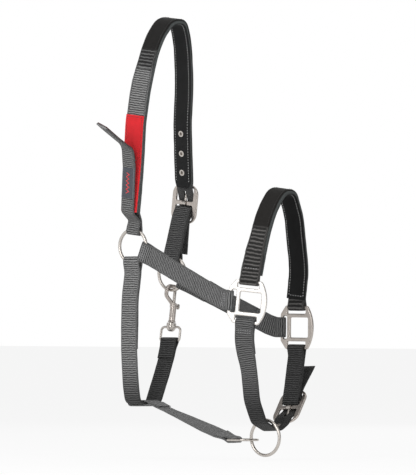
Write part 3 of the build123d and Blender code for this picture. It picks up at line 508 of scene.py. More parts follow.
def webbing(name, light, dark, warm=0.0, pitch=2.45, coarse_pitch=4.3,
            half=WIDTH / 2, contrast=1.0):
    """Ribbed nylon webbing: ribs across its outer face, a twill on its inner face, and bound edges."""
    t = Tree(name)
    where, u, v = t.weave()
    flow = t.noise(0.16, 2.0, where)
    fuzz = t.noise(2.2, 4.0, where, 0.7)
    stretched = t.node("Mapping", {"Vector": where, "Scale": (0.35, 2.0, 1.0)})
    streak = t.noise(1.0, 3.0, stretched, 0.6)
    drift = t.times(t.less(flow, 0.5), 2.2)
    run = t.add(v, drift)

    def rib(size):
        wave = t.math("SINE", t.times(run, 2 * pi / size))
        return t.add(t.times(wave, 0.5), 0.5)

    fine, wide = rib(pitch), t.math("POWER", rib(coarse_pitch), 2.5)
    coarse = t.attribute("coarse")
    ribs = t.add(t.times(fine, t.less(1.0, coarse)), t.times(wide, coarse))
    zigzag = t.math("PINGPONG", u, 3.1)
    slope = t.add(v, t.times(zigzag, 1.5))
    twill = t.add(t.times(t.math("SINE", t.times(slope, 2 * pi / 2.3)), 0.5), 0.5)
    inner = t.math("LESS_THAN", t.attribute("side"), -0.5)
    height = t.add(t.times(ribs, t.less(1.0, inner)), t.times(twill, inner))
    plain = t.attribute("plain")
    height = t.times(height, t.less(1.0, t.times(plain, 0.88)))
    edge = t.ramp(t.math("ABSOLUTE", u), half - 2.4, half - 1.5)
    cord = t.add(t.times(t.math("SINE", t.times(v, 2 * pi / 1.6)), 0.35), 0.4)
    height = t.add(t.times(height, t.less(1.0, edge)), t.times(cord, edge))
    height = t.add(height, t.times(t.less(streak, 0.5), 0.7))
    # Colour follows the height of the ribs, twill and edge cord: painted shade in their grooves; the
    # streaks and fuzz are the cloth's own uneven tone
    tone = t.add(t.times(height, contrast), t.times(t.less(fuzz, 0.5), 0.7), clamp=True)
    cloth = t.mix(tone, grey(dark, warm), grey(light, warm))
    sleek = t.mix(t.ramp(fuzz, 0.35, 0.7), grey(dark * 0.55, warm + 0.06), grey(dark * 1.5, warm + 0.08))
    cloth = t.mix(plain, cloth, sleek)
    # Painted shade: the colour is multiplied by the strap's painted shade factor, darker where the strap
    # lies in shade
    painted_shade = t.attribute("painted_shade")
    painted_shades = t.node("CombineXYZ", (painted_shade, painted_shade, painted_shade))
    painted_shade_cloth = t.node("VectorMath", {0: cloth, 1: painted_shades}, operation="MULTIPLY")
    t.set(Base_Color=painted_shade_cloth, Roughness=t.less(0.82, t.times(tone, 0.16)))
    t.set(Sheen_Weight=0.08, Sheen_Roughness=0.45, Specular_IOR_Level=0.22)
    t.bump(t.add(height, t.times(fuzz, 0.35)), 0.9, 0.38)
    return t.material


def lining(name, face, edge_tone):
    """Soft coated lining: a fine grain on its face, puckers along its seams and a bound edge."""
    t = Tree(name)
    where, u, v = t.weave()
    grain = t.noise(3.2, 5.0, where, 0.75)
    broad = t.noise(0.09, 2.0, where)
    outside = t.math("GREATER_THAN", t.attribute("side"), -0.5)
    tone = t.add(t.times(grain, 0.55), t.times(broad, 0.6), clamp=True)
    base = t.mix(tone, grey(face * 0.6, -0.02), grey(face * 1.5, -0.02))
    dim = (edge_tone * 0.8, edge_tone * 0.88, edge_tone * 0.87, 1)
    bound = t.mix(grain, dim, (edge_tone * 1.2, edge_tone * 1.32, edge_tone * 1.3, 1))
    near = t.ramp(t.math("ABSOLUTE", u), 9.0, 10.2)
    pucker = t.times(t.math("SINE", t.times(v, 2 * pi / 3.1)), near)
    t.set(Base_Color=t.mix(outside, base, bound), Roughness=0.82)
    t.set(Sheen_Weight=0.04, Specular_IOR_Level=0.18)
    t.bump(t.add(t.times(grain, 0.5), t.times(pucker, 0.35)), 0.7, 0.25)
    return t.material


def pile(name, low, high):
    """Brushed pile of the hook-and-loop fastening."""
    t = Tree(name)
    where = t.node("TexCoord", out=3)
    fluff = t.noise(2600, 4.0, where, 0.8)
    patchy = t.noise(160, 3.0, where)
    tone = t.add(t.times(fluff, 0.7), t.times(patchy, 0.35), clamp=True)
    t.set(Base_Color=t.mix(tone, low, high), Roughness=0.92, Specular_IOR_Level=0.1)
    t.set(Sheen_Weight=0.5, Sheen_Roughness=0.6)
    t.put(t.shader.inputs["Sheen Tint"], (1.0, 0.45, 0.45, 1.0))
    t.bump(fluff, 0.8, 0.35)
    return t.material


def label_cloth(name, light, dark):
    """Tightly woven label."""
    t = Tree(name)
    where, u, v = t.weave()
    weft = t.math("SINE", t.times(v, 2 * pi / 0.7))
    warp = t.math("SINE", t.times(u, 2 * pi / 0.9))
    fuzz = t.noise(1.6, 3.0, where, 0.6)
    tone = t.add(t.times(t.times(weft, warp), 0.2), fuzz, clamp=True)
    edge = t.ramp(t.math("ABSOLUTE", u), TAB_WIDTH / 2 - 2.2, TAB_WIDTH / 2 - 1.7)
    base = t.mix(tone, dark, light)
    bordered = t.mix(t.times(edge, 0.55), base, (0.16, 0.17, 0.19, 1))
    t.set(Base_Color=bordered, Roughness=0.7, Sheen_Weight=0.1)
    t.bump(tone, 0.5, 0.12)
    return t.material


def thread(name, colour):
    """Twisted sewing thread."""
    t = Tree(name)
    where = t.node("TexCoord", out=3)
    inputs = {"Vector": where, "Scale": 900.0, "Distortion": 2.0}
    twist = t.node("TexWave", inputs, out=1, bands_direction="DIAGONAL")
    # The colour darkens along the twist's grooves: painted shade
    low = tuple(c * 0.6 for c in colour[:3]) + (1,)
    t.set(Base_Color=t.mix(twist, low, colour), Roughness=0.6, Sheen_Weight=0.2)
    t.bump(twist, 0.5, 0.1)
    return t.material


def metal(name, colour, rough, dull=0.35, grain=0.5, metallic=1.0):
    """Satin nickel plating with fine polishing marks, faint wear and slightly uneven gloss."""
    t = Tree(name)
    where = t.node("TexCoord", out=3)
    cloud = t.noise(90, 4.0, where, 0.6)
    fine = t.noise(1900, 3.0, where, 0.6)
    stretched = t.node("Mapping", {"Vector": where, "Scale": (180.0, 900.0, 2600.0)})
    brushed = t.noise(1.0, 3.0, stretched, 0.65)
    worn = t.ramp(t.add(t.times(cloud, 0.7), t.times(fine, 0.3)), 0.35, 0.75)
    low = tuple(c * (1 - dull * 0.5) for c in colour[:3]) + (1,)
    t.set(Base_Color=t.mix(worn, low, colour), Metallic=metallic)
    t.set(Roughness=t.add(rough, t.times(t.less(brushed, 0.5), 0.16)))
    t.bump(t.add(t.times(brushed, grain), t.times(cloud, 0.1)), 0.15, 0.03)
    return t.material


# webbing_near, webbing_cheek and the far cheek's copy are one webbing at three brightnesses; the far
# cheek's copy is darker with painted shade
shaded_far_cheek_web = webbing("webbing_far_cheek_shaded", 0.15, 0.014, pitch=2.85, contrast=1.15)
near_web = webbing("webbing_near", 0.255, 0.02, pitch=2.85, contrast=1.15)
cheek_web = webbing("webbing_cheek", 0.20, 0.016, pitch=2.85, contrast=1.15)
chin_web = webbing("webbing_chin", 0.15, 0.012, pitch=2.6, contrast=1.15)
# a darker copy of the billet webbing for the low far chin billet: painted shade
shaded_chin_billet_web = webbing("webbing_chin_billet_shaded", 0.07, 0.005)
billet_web = webbing("webbing_billet", 0.13, 0.008)
tab_web = webbing("webbing_tab", 0.23, 0.018, half=TAB_WIDTH / 2, pitch=2.6)
nose_web = webbing("webbing_nose", 0.115, 0.010, warm=0.04, coarse_pitch=4.9)
crown_cloth = lining("lining_crown", 0.016, 0.075)
nose_cloth = lining("lining_nose", 0.007, 0.06)
red_pile = pile("pile_red", (0.42, 0.004, 0.008, 1), (0.95, 0.03, 0.04, 1))
hook_pile = pile("hooks_dark", (0.012, 0.007, 0.007, 1), (0.05, 0.03, 0.03, 1))
label_web = label_cloth("label_slate", (0.075, 0.08, 0.095, 1), (0.04, 0.043, 0.055, 1))
thread_dark = thread("thread_dark", (0.012, 0.012, 0.012, 1))
thread_grey = thread("thread_grey", (0.5, 0.5, 0.5, 1))
thread_light = thread("thread_light", (0.42, 0.42, 0.43, 1))
thread_red = thread("thread_red", (0.16, 0.002, 0.004, 1))
thread_bright = thread("thread_bright", (0.95, 0.06, 0.07, 1))
# a brighter copy of the satin nickel for the near square: painted light
lit_near_nickel = metal("nickel_near_lit", (0.80, 0.765, 0.73, 1), 0.40)
nickel = metal("nickel_satin", (0.56, 0.51, 0.47, 1), 0.36)
wire_nickel = metal("nickel_wire", (0.60, 0.56, 0.52, 1), 0.34)
steel = metal("spring_steel", (0.5, 0.5, 0.5, 1), 0.3)


def dress(piece, body, slot, *replaced):
    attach(piece, body)
    if replaced:
        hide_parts(*replaced)
    return piece


# ---- crown ---------------------------------------------------------------------------------------
crown_end = (-51.5, -236.0)
crown_over = [(-53.8, -176), (-57, -125), (-54, -77), (-42, -33.5), (-33, -14), (-16, 5),
              (10, 5), (20, -13), (27, -33.5), (36, -77), (39.3, -125)]
crown_bends = [150, 90, 220, 84, 62, 25, 15, 95, 150, 280, 120]
crown_weave = [(53.4, -198.5), (53.4, -207.1), (60.9, -222.6), (62.25, -234.0), (53.4, -244.5),
               (53.4, -253.5)]
weave_bends = [20, 4, 4, 4, 4, 12]
crown_tail = (54.8, -289.0)


def crown_zones(d, p):
    """Plain, coarse and painted shade along the crown from its right end: ribs, wide ribs, then a sleek
    top; the painted shade darkens it from near the top of the head onwards, over the far leg.
    """
    plain = clamped((d - SLEEK_FROM) / 4) * clamped((SLEEK_TO - d) / 6)
    coarse = clamped((d - COARSE_FROM) / 3) * clamped((COARSE_TO - d) / 3)
    painted_shade = 1.0 - 0.55 * clamped((d - PAINTED_SHADE_FROM) / 10)
    return plain, coarse, painted_shade


crown_route = [crown_end, *crown_over, *crown_weave, crown_tail]
crown_path = on_plane(crown, crown_route, [*crown_bends, *weave_bends], crown.z, WEB / 2)
crown_frames = twisted(frames_of(crown_path))
crown_strap = ribbon("crown_webbing_cloth", crown_frames, flat_section(WIDTH, WEB), near_web, crown_zones)

end = along_segment(crown_weave[0], crown_weave[1], crown_weave[1][1] + 1.5)
pad_route = [crown_end, *crown_over, crown_weave[0], end]
pad_frames = twisted(frames_of(on_plane(crown, pad_route, [*crown_bends, weave_bends[0]], crown.z)))


def crown_pad_outline(share):
    """Lining of the crown, narrowed at its left end to enter the buckle."""
    left = (1 - share) * pad_frames[-1][4]
    narrow = 1.0 - 0.28 * (1 - min(1, left / 12)) ** 2
    outline = pad_section(CROWN_PAD_WIDTH, CROWN_PAD)
    return [(s * narrow, n) for s, n in outline]


crown_pad = ribbon("crown_lining_pad", pad_frames, crown_pad_outline, crown_cloth, wobble=0.22, start=40)

eyelet_spots = [
    ((-15.908, 41.602, -136.073), (-0.114, 0.188, -0.975)),
    ((-18.811, 46.398, -160.904), (-0.114, 0.188, -0.975)),
    ((-21.598, 51.002, -184.742), (-0.114, 0.188, -0.975)),
]
eyelet_along = Vector((0.022, 0.982, 0.187))
for piece in (crown_strap, crown_pad):
    cut(piece, [drill(p, eyelet_along, 2.55, 14) for p, _ in eyelet_spots])
crown_slot = drill((-25.197, 57.4, -215.532), (-0.051, -0.900, -0.433), 1.65, 5,
                   (-0.105, 0.436, -0.894), 12.2)
cut(crown_strap, [crown_slot])
dress(crown_strap, "headstall", "webbing", "crown_webbing")
dress(crown_pad, "headstall", "lining", "crown_lining")

crown_length = crown_frames[-1][4]
pad_length = pad_frames[-1][4]
crown_rows = []
for s in (-WIDTH / 2 + 2.1, WIDTH / 2 - 2.1):
    crown_rows.append((crown_frames, s, WEB / 2 + 0.15, 128, crown_length - 110, *SEAM_STITCH))
dress(stitching("crown_outer_stitching", crown_rows, thread_dark), "headstall", "webbing")
pad_rows = [(pad_frames, s, -CROWN_PAD + 0.55, 10, pad_length - 8, *LINING_STITCH) for s in (-9.85, 9.85)]
dress(stitching("crown_lining_stitching", pad_rows, thread_grey, LINING_THREAD), "headstall", "lining")

patch_top = along_segment(crown_over[1], crown_over[2], -115.2)
patch_route = [crown_end, crown_over[0], crown_over[1], patch_top]
patch_frames = twisted(frames_of(on_plane(crown, patch_route, crown_bends[:2], crown.z, WEB)))
patch_outline = flat_section(WIDTH - 0.6, PATCH, 0.0, 0.25)
patch = ribbon("red_loop_patch", patch_frames, patch_outline, red_pile, wobble=0.1, start=7)
dress(patch, "headstall", "red_patch", "hook_and_loop_patch")
patch_length = patch_frames[-1][4]
patch_rows = [(patch_frames, s, PATCH + 0.12, 2, patch_length - 1.6, *PATCH_STITCH) for s in (-9.9, 9.9)]
patch_rows.append((patch_frames, None, PATCH + 0.25, patch_length - 2.6, 9.6, *PATCH_STITCH))
dress(stitching("patch_stitching", patch_rows, thread_red), "headstall", "red_patch")


def double_loop(low, high, count=26):
    """Path of a strap that is one ring round two bars, from the middle of its inner leg and back to it.
    Each end is (loop points); both go from the inner leg to the outer one."""
    middle = (low[0][0].lerp(high[0][0], 0.5), low[0][1].lerp(high[0][1], 0.5))
    path = [middle, *blended(middle, low[0]), *low]
    path += blended(low[-1], high[-1], count)
    path += list(reversed(high))
    path += blended(high[0], middle)
    path.append((middle[0] + (high[0][0] - middle[0]).normalized() * 0.3, middle[1]))
    return path


def billet_loop(buckle, way, side):
    pull = (buckle.x * -cos(radians(32)) - buckle.z * sin(radians(32))).normalized()
    out = way.cross(pull)
    out = out if out.dot(side) > 0 else -out
    return loop(buckle.at(-4.5, 0), pull, out, BUCKLE_BAR, way, 11.0)


up = Vector((cos(radians(86.134)), 0, sin(radians(86.134))))
ring_way = Vector((0, 1, 0)).cross(up) * -1
low = loop(LEFT_RING + up * CHEEK_RING, up, Vector((0, 1, 0)), RING_WIRE, ring_way, sag=WIDE_SAG)
high = billet_loop(crown_buckle, crown_buckle.y * -1, Vector((0, 1, 0)))
billet_frames = frames_of(double_loop(low, high))
billet = ribbon("crown_billet_cloth", billet_frames, flat_section(WIDTH, WEB), billet_web,
                wobble=0.2, start=71)
dress(billet, "headstall", "webbing", "crown_billet")

# ---- safety tab ----------------------------------------------------------------------------------
tab_foot = -249.393
leg_top = (-60.5, -176.5)
leg_bottom = (-51.5 - WEB - PATCH - 3 * TOUCH, -236.5)
pivot = (leg_top[0] - WEB / 2, leg_top[1])
inner_face = -51.5 + CROWN_PAD + TOUCH
inner_leg = [(-39.6, tab_foot), (-39.6, tab_foot + 2), (inner_face, -237.0), (-46.897, -210.0)]
outer_leg = [(-39.6, tab_foot), (-39.6, tab_foot + 2), leg_bottom, leg_top]
flap = [pivot, (-69.0, -156.0), (-100.0, -141.5), (-124.0, -129.5)]
tab_up = Vector((cos(radians(90 - TAB_LEAN)), 0, sin(radians(90 - TAB_LEAN))))
tab_loop = loop(RIGHT_RING + tab_up * CHEEK_RING, tab_up, Vector((0, -1, 0)), RING_WIRE, crown.z,
                sag=TAB_SAG)
inner_run = on_plane(crown, list(reversed(inner_leg)), [5, 3], crown.z, WEB / 2)
outer_run = on_plane(crown, [*outer_leg[:3], (leg_top[0] - 0.2, leg_top[1] - 3)], [3, 5], crown.z, WEB / 2)
flap_run = on_plane(crown, flap, [14, 40], crown.z, 0)
tab_path = [*inner_run[:-2], *tab_loop, *outer_run[2:], *flap_run[1:]]
tab_frames = twisted(frames_of(tab_path, 1.1, 3), 0, 24)
tab = ribbon("safety_tab_cloth", tab_frames, flat_section(TAB_WIDTH, WEB), tab_web, start=13)
hinge = crown.at(*pivot) * MM
leg_way = (crown.at(*leg_top) - crown.at(*leg_bottom)).normalized()
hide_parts("safety_tab", "safety_tab_end")
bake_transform(tab)

hook_route = [along_segment(flap[0], flap[1], pivot[1] + 4), *flap[1:]]
hook_frames = twisted(frames_of(on_plane(crown, hook_route, [14, 40], crown.z, -WEB / 2), 1.1, 1), 0, 0)
hook_outline = flat_section(TAB_WIDTH - 2, PATCH, -PATCH, 0.05)
hooks = ribbon("hook_strip_pile", hook_frames, hook_outline, hook_pile, wobble=0.08, start=5)
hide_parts("tab_hook_strip")
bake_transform(hooks)

label_route = [along_segment(leg_bottom, leg_top, h) for h in (-219.0, -181.0)]
label_frames = frames_of(on_plane(crown, label_route, [], crown.z, WEB), 1.1, 0)
label_outline = flat_section(TAB_WIDTH - 1.2, LABEL + 0.3, -0.05, 0.35)
label = ribbon("tab_label_cloth", label_frames, label_outline, label_web, wobble=0.12, start=3)
dress(label, "headstall", "label", "tab_label")
zig = bmesh.new()
label_length = label_frames[-1][4]
for k in range(10):
    a = at_distance(label_frames, 6 + k * (label_length - 12) / 10)
    b = at_distance(label_frames, 6 + (k + 1) * (label_length - 12) / 10)
    side = 2.6 if k % 2 else -2.6
    capsule(zig, spot(a, side, LABEL + 0.62), spot(b, -side, LABEL + 0.62), 0.55, a[3])
dress(finished(zig, "label_zigzag", thread_bright), "headstall", "label")

# ---- noseband ------------------------------------------------------------------------------------
rise_way = right_square.y * cos(NOSE_IN) - right_square.z * sin(NOSE_IN)
right_up = Plane(right_square.at(-SLOT_BACK, SQUARE_UP), rise_way, right_square.x)
left_up = Plane(left_square.at(-SLOT_BACK, SQUARE_UP), left_square.y, left_square.x)
NOSE_FOLD = 26.0
foot = -146.4938
nose_route = [(-37, -50), (-30, -25), (-10, 0), (12, 0), (31, -32), (37, -54), (46.5, -85),
              (50.4, foot + 45), (50.4, foot + REACH - LAP)]
nose_bends = [100, 20, 17, 75, 200, 200, 55]


def nose_zones(d, p):
    return clamped((p.z + 255) / 3), 1.0, 1.0


right_loop = loop(right_up.o, right_up.x, right_up.y, OUTER_BAR, right_up.z)
left_loop = loop(left_up.o, left_up.x, Vector((0, 1, 0)), OUTER_BAR, left_up.z)
over = on_plane(nose, nose_route, nose_bends, nose.z, WEB / 2)
rise = (over[1][0] - over[0][0]).normalized()
inside = on_plane(nose, nose_route, nose_bends, nose.z, -WEB / 2)
fold = curved((right_up.at(REACH + 3, -WEB / 2), right_up.z), inside[0], right_up.x, rise)[:10]
path = [*reversed(fold), *right_loop, (right_up.at(REACH + 3, WEB / 2), right_up.z)]
path += curved(path[-1], over[0], right_up.x, rise) + over[:-1] + list(reversed(left_loop))
path.append((left_up.at(REACH + NOSE_FOLD, WEB / 2), left_up.z))
nose_frames = frames_of(path)
nose_strap = ribbon("noseband_webbing_cloth", nose_frames, flat_section(WIDTH, WEB), nose_web, nose_zones,
                    start=23, hem=5.0)
dress(nose_strap, "headstall", "webbing", "noseband_webbing")

under = on_plane(nose, [*nose_route[:-1], (50.4, foot + REACH)], nose_bends, nose.z, 0)
path = [(right_up.at(REACH, 0), right_up.z), (right_up.at(REACH + 3, 0), right_up.z)]
path += curved(path[-1], under[0], right_up.x, rise) + under
nose_pad_frames = frames_of(path)
nose_pad_length = nose_pad_frames[-1][4]


def nose_pad_outline(share):
    d = share * nose_pad_length
    near_end = min(d, nose_pad_length - d)
    top = -WEB * clamped((NOSE_FOLD + 0.5 - near_end) / 3)
    return pad_section(NOSE_PAD_WIDTH, NOSE_PAD, top)


nose_pad = ribbon("noseband_lining_pad", nose_pad_frames, nose_pad_outline, nose_cloth,
                  wobble=0.22, start=90)
dress(nose_pad, "headstall", "lining", "noseband_lining")
rows = [(nose_pad_frames, s, -NOSE_PAD + 0.55, 4, nose_pad_length - 4, *LINING_STITCH)
        for s in (-11.1, 11.1)]
rows += [(nose_pad_frames, None, -NOSE_PAD + 0.1, d, 9.6, *LINING_STITCH)
         for d in (4.5, nose_pad_length - 4.5)]
dress(stitching("noseband_lining_stitching", rows, thread_grey, LINING_THREAD), "headstall", "lining")
nose_length = nose_frames[-1][4]
rows = [(nose_frames, s, WEB / 2 + 0.15, 66, nose_length - 60, *SEAM_STITCH) for s in (-10.4, 10.4)]
dress(stitching("noseband_outer_stitching", rows, thread_dark), "headstall", "webbing")
rows = [(nose_frames, None, WEB / 2 + 0.3, d, 8.6, *END_STITCH) for d in (62, nose_length - 62)]
dress(stitching("noseband_end_stitching", rows, thread_light), "headstall", "webbing")


# ---- cheek straps --------------------------------------------------------------------------------
def cheek(name, ring, square, outward, material, start):
    """Webbing from a cheek ring to a square's rear bar, folded back and sewn at both ends."""
    bar = square.at(-SQUARE_BACK, 0)
    level = Vector((bar.x - ring.x, bar.y - ring.y, 0)).normalized()
    pull = level.cross(Vector((0, 0, 1))).cross(square.y).normalized()
    elbow = bar + pull * (REACH + 3)
    slope = atan2(elbow.z - ring.z, elbow.x - ring.x)
    u = Vector((cos(slope), 0, sin(slope)))
    first = ring + u * (CHEEK_RING + REACH - 1)
    level = Vector((bar.x - first.x, bar.y - first.y, 0)).normalized()
    normal = level.cross(Vector((0, 0, 1)))
    pull = normal.cross(square.y).normalized()
    out = normal * outward
    elbow = bar + pull * (REACH + 3)
    ring_out = Vector((0, -1 if outward > 0 else 1, 0))
    ring_across = ring_out.cross(u) * -1
    way = (elbow - first).normalized()
    run_across = out.cross(way).normalized() * -1
    bar_across = out.cross(pull)
    ring_loop = loop(ring + u * CHEEK_RING, u, ring_out, RING_WIRE, ring_across, sag=WIDE_SAG)
    bar_loop = loop(bar, pull, out, OUTER_BAR, bar_across)
    inner, outer = -out * (WEB / 2), out * (WEB / 2)
    path = [(first + way * FOLD + inner, run_across), (first + way * 4 + inner, run_across), *ring_loop]
    path += [(first + way * 4 + outer, run_across)]
    path += blended(path[-1], (elbow + outer - way * 9, run_across), 40)
    path += [(elbow + outer - way * 8, run_across), *reversed(bar_loop)]
    path += [(elbow + inner - way * 8, run_across), (elbow + inner - way * FOLD, run_across)]
    frames = frames_of(path)
    piece = ribbon(name + "_cloth", frames, flat_section(WIDTH, WEB), material, start=start, hem=5.0)
    dress(piece, "headstall", "webbing", name)
    total = frames[-1][4]
    rows = []
    for d in (FOLD + 29, total - FOLD - 33):
        rows += [(frames, None, WEB / 2 + 0.2, d + k * 2.6, 8.8, *END_STITCH) for k in (-1, 0, 1)]
    stitch_thread = thread_light if outward > 0 else thread_grey
    dress(stitching(name + "_stitching", rows, stitch_thread), "headstall", "webbing")


cheek("right_cheek_strap", RIGHT_RING, right_square, 1, cheek_web, 31)
# the far cheek strap's webbing is darkened with painted shade
cheek("left_cheek_strap", LEFT_RING, left_square, -1, shaded_far_cheek_web, 57)

# ---- chin strap ----------------------------------------------------------------------------------
drop_way = right_square.y * -cos(CHIN_IN) - right_square.z * sin(CHIN_IN)
right_down = Plane(right_square.at(-SLOT_BACK, -SQUARE_UP), drop_way, right_square.x * -1)
left_down = Plane(left_square.at(-SLOT_BACK, -SQUARE_UP), left_square.y * -1, left_square.x * -1)
chin_tail = (70.0, -427.0)
chin_weave = [(13.302, -497.700), (18.430, -490.795), (33.692, -482.823), (41.573, -474.476),
              (40.728, -460.770), (46.094, -453.545)]
chin_route = [chin_tail, *chin_weave[::-1], (-3.0, -506.8), (-29.5, -496.0), (-42.3, -470.0),
              (-46.2, -437.0)]
chin_bends = [40, 4, 4, 4, 4, 12, 14, 12, 40]
chin_run = on_plane(chin, chin_route[::-1], chin_bends[::-1], chin.z * -1, WEB / 2)
right_loop = loop(right_down.o, right_down.x, right_down.y, OUTER_BAR, right_down.z)
drop = (chin_run[1][0] - chin_run[0][0]).normalized()
inside = on_plane(chin, chin_route[::-1], chin_bends[::-1], chin.z * -1, -WEB / 2)
fold = curved((right_down.at(REACH + 3, -WEB / 2), right_down.z), inside[0], right_down.x, drop)[:14]
path = [*reversed(fold), *right_loop, (right_down.at(REACH + 3, WEB / 2), right_down.z)]
path += curved(path[-1], chin_run[0], right_down.x, drop) + chin_run
chin_frames = frames_of(path)


def chin_zones(d, p):
    # Painted shade: darker low under the head and on the far side of the strap
    low = clamped((-435 - p.z) / 45)
    far = clamped((p.y + 20) / 20)
    return 0.0, 0.0, 1.0 - 0.7 * max(low, far)


chin_strap = ribbon("chin_strap_cloth", chin_frames, flat_section(WIDTH, WEB), chin_web, chin_zones,
                    start=44, hem=5.0)
chin_hole = drill((159.883, 7.5, -500.633), (0.030, 0.487, -0.873), 2.55, 8)
chin_slot = drill((159.334, 27.543, -484.937), (-0.031, -0.463, 0.886), 1.65, 5,
                  (-0.016, 0.886, 0.463), 12.2)
cut(chin_strap, [chin_hole, chin_slot])
dress(chin_strap, "headstall", "webbing", "chin_strap")
rows = [(chin_frames, None, WEB / 2 + 0.25, 62 + k * 3.2, 8.8, *END_STITCH) for k in (0, 1)]
dress(stitching("chin_strap_stitching", rows, thread_light), "headstall", "webbing")

low = loop(left_down.o, left_down.x, Vector((0, 1, 0)), OUTER_BAR, left_down.z * -1)
high = billet_loop(chin_buckle, Vector((1, 0, 0)), Vector((0, 1, 0)))
chin_billet_frames = frames_of(double_loop(low, high))
# the chin billet's webbing is darkened with painted shade
chin_billet = ribbon("chin_billet_cloth", chin_billet_frames, flat_section(WIDTH, WEB), shaded_chin_billet_web,
                     wobble=0.2, start=83)
dress(chin_billet, "headstall", "webbing", "chin_billet")

# ---- jowl strap ----------------------------------------------------------------------------------
JOWL_Y, LINK_REAR, LINK_Z, SLEEVE_Z = -18.75, 111.494, -518.283, -474.1
fall = atan2(LINK_Z - SLEEVE_Z, LINK_REAR + 12.0)
ahead, above = Vector((cos(fall), 0, sin(fall))), Vector((-sin(fall), 0, cos(fall)))
link_bar = Vector((LINK_REAR, JOWL_Y, LINK_Z))
jowl_way = Vector((0, -1, 0))
link_loop = loop(link_bar, -ahead, above, LINK_WIRE, jowl_way)
bend = Vector((-12.0, JOWL_Y, SLEEVE_Z))
half_long, half_high = 14.4, 2.6
ring_x = -32.5
sleeve = [(ring_x + half_long, SLEEVE_Z - half_high), (ring_x - half_long, SLEEVE_Z - half_high),
          (ring_x - half_long, SLEEVE_Z + half_high), (ring_x + half_long, SLEEVE_Z + half_high)]
corners = [(-10, SLEEVE_Z - WEB / 2 - 0.4), (-16, SLEEVE_Z - WEB / 2), *sleeve,
           (-16, SLEEVE_Z + WEB / 2), (-10, SLEEVE_Z + WEB / 2 - 0.4)]
wrap = rounded([Vector((x, JOWL_Y, z)) for x, z in corners], [2, 1, 2, 2, 1, 2])
path = [(link_bar - ahead * (REACH + 12) + above * (WEB / 2), jowl_way), *reversed(link_loop)]
path += [(bend + ahead * 6 - above * (WEB / 2), jowl_way)]
path += [(p, jowl_way) for p in wrap]
path += [(bend + ahead * run + above * (WEB / 2), jowl_way) for run in (6, 14)]
jowl_frames = []
for f in frames_of(path):
    roll = JOWL_ROLL * clamped((f[0].x - 10) / 60) * clamped((LINK_REAR - 6 - f[0].x) / 16)
    spin = Quaternion((f[1] if f[1].x > 0 else -f[1]), radians(roll))
    jowl_frames.append((f[0], f[1], spin @ f[2], spin @ f[3], f[4]))
jowl_strap = ribbon("jowl_strap_cloth", jowl_frames, flat_section(WIDTH, WEB), near_web,
                    wobble=0.14, start=17, hem=9.0)
dress(jowl_strap, "headstall", "webbing", "jowl_strap")

# ---- throat strap --------------------------------------------------------------------------------
throat_foot = -308.5
eye_bar = Vector((-32.5, 34.818, -395.864))
eye_pull = Vector((0, -0.351, -0.936)).normalized()
throat_route = [(-39.6, throat_foot), (-39.6, throat_foot - 4), (-45.5, -345), (-46.5, -406), (-43, -450),
                (-38, -473.0), (0.5, -473.0), (25.4, -421.0), (31.66, -404.292)]
throat_bends = [10, 150, 200, 80, 8, 8, 20]
down = Vector((0, 0, -1))
throat_way = Vector((-1, 0, 0))
ring_loop = loop(RIGHT_RING + down * CHEEK_RING, down, Vector((0, -1, 0)), RING_WIRE, throat_way,
                 sag=WIDE_SAG)
inner = on_plane(throat, throat_route[:4][::-1], throat_bends[:2][::-1], throat_way, WEB / 2)
outer = on_plane(throat, throat_route, throat_bends, throat_way, WEB / 2)
eye_side = throat_way.cross(eye_pull * -1)
eye_loop = loop(eye_bar, eye_pull, eye_side * -1, EYE_WIRE, throat_way)
path = [*inner[:-2], *ring_loop, *outer[2:-1], *eye_loop]
path.append((eye_bar + eye_pull * 24 - eye_side * (WEB / 2), throat_way))
throat_frames = frames_of(path)


def throat_zones(d, p):
    # Painted shade: darker low under the head and on the far side of the strap
    low = clamped((-425 - p.z) / 45)
    far = clamped((p.y + 25) / 15)
    return 0.0, 0.0, 1.0 - 0.72 * max(low, far)


throat_strap = ribbon("throat_strap_cloth", throat_frames, flat_section(WIDTH, WEB), near_web, throat_zones,
                      start=65, hem=22.0, ribbed=True)
dress(throat_strap, "headstall", "webbing", "throat_strap")


# ---- metal ---------------------------------------------------------------------------------------
def cast(node, body, material, voxel=0.4, smooth=4):
    """Softened copy of a hard CAD part, as it comes from a mould and a tumbler."""
    piece = bpy.data.objects.new(node + "_cast", nodes[node].data.copy())
    bpy.context.scene.collection.objects.link(piece)
    remesh = piece.modifiers.new("remesh", "REMESH")
    remesh.mode = "VOXEL"
    remesh.voxel_size = voxel * MM
    remesh.use_smooth_shade = True
    soft = piece.modifiers.new("soft", "SMOOTH")
    soft.iterations = smooth
    soft.factor = 0.5
    graph = bpy.context.evaluated_depsgraph_get()
    mesh = bpy.data.meshes.new_from_object(piece.evaluated_get(graph), depsgraph=graph)
    piece.modifiers.clear()
    piece.data = mesh
    mesh.materials.clear()
    mesh.materials.append(material)
    return dress(piece, body, "hardware", node)


# the near square takes the brighter copy of the nickel: painted light
cast("right_square", "headstall", lit_near_nickel, 0.45, 3)
cast("left_square", "headstall", nickel, 0.45, 3)
cast("crown_buckle_frame", "headstall", nickel, 0.4, 4)
cast("chin_buckle_frame", "headstall", nickel, 0.4, 4)
cast("snap_body", "snap_body", nickel, 0.3, 5)
cast("snap_swivel_eye", "headstall", wire_nickel, 0.3, 3)


def smooth_node(node, material):
    """Carried-over CAD part: a better material and smooth shading."""
    piece = nodes[node]
    piece.data.materials.clear()
    piece.data.materials.append(material)
    piece.data.shade_smooth()
    piece.data.set_sharp_from_angle(angle=radians(38))


for node in ("right_cheek_ring", "left_cheek_ring", "chin_ring", "jowl_link", "crown_buckle_tongue",
             "chin_buckle_tongue", "snap_bolt", "crown_eyelets", "chin_eyelet"):
    smooth_node(node, wire_nickel)
smooth_node("snap_spring", steel)

# ---- floor, light and camera ---------------------------------------------------------------------
lo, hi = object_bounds()
centre = (lo + hi) / 2


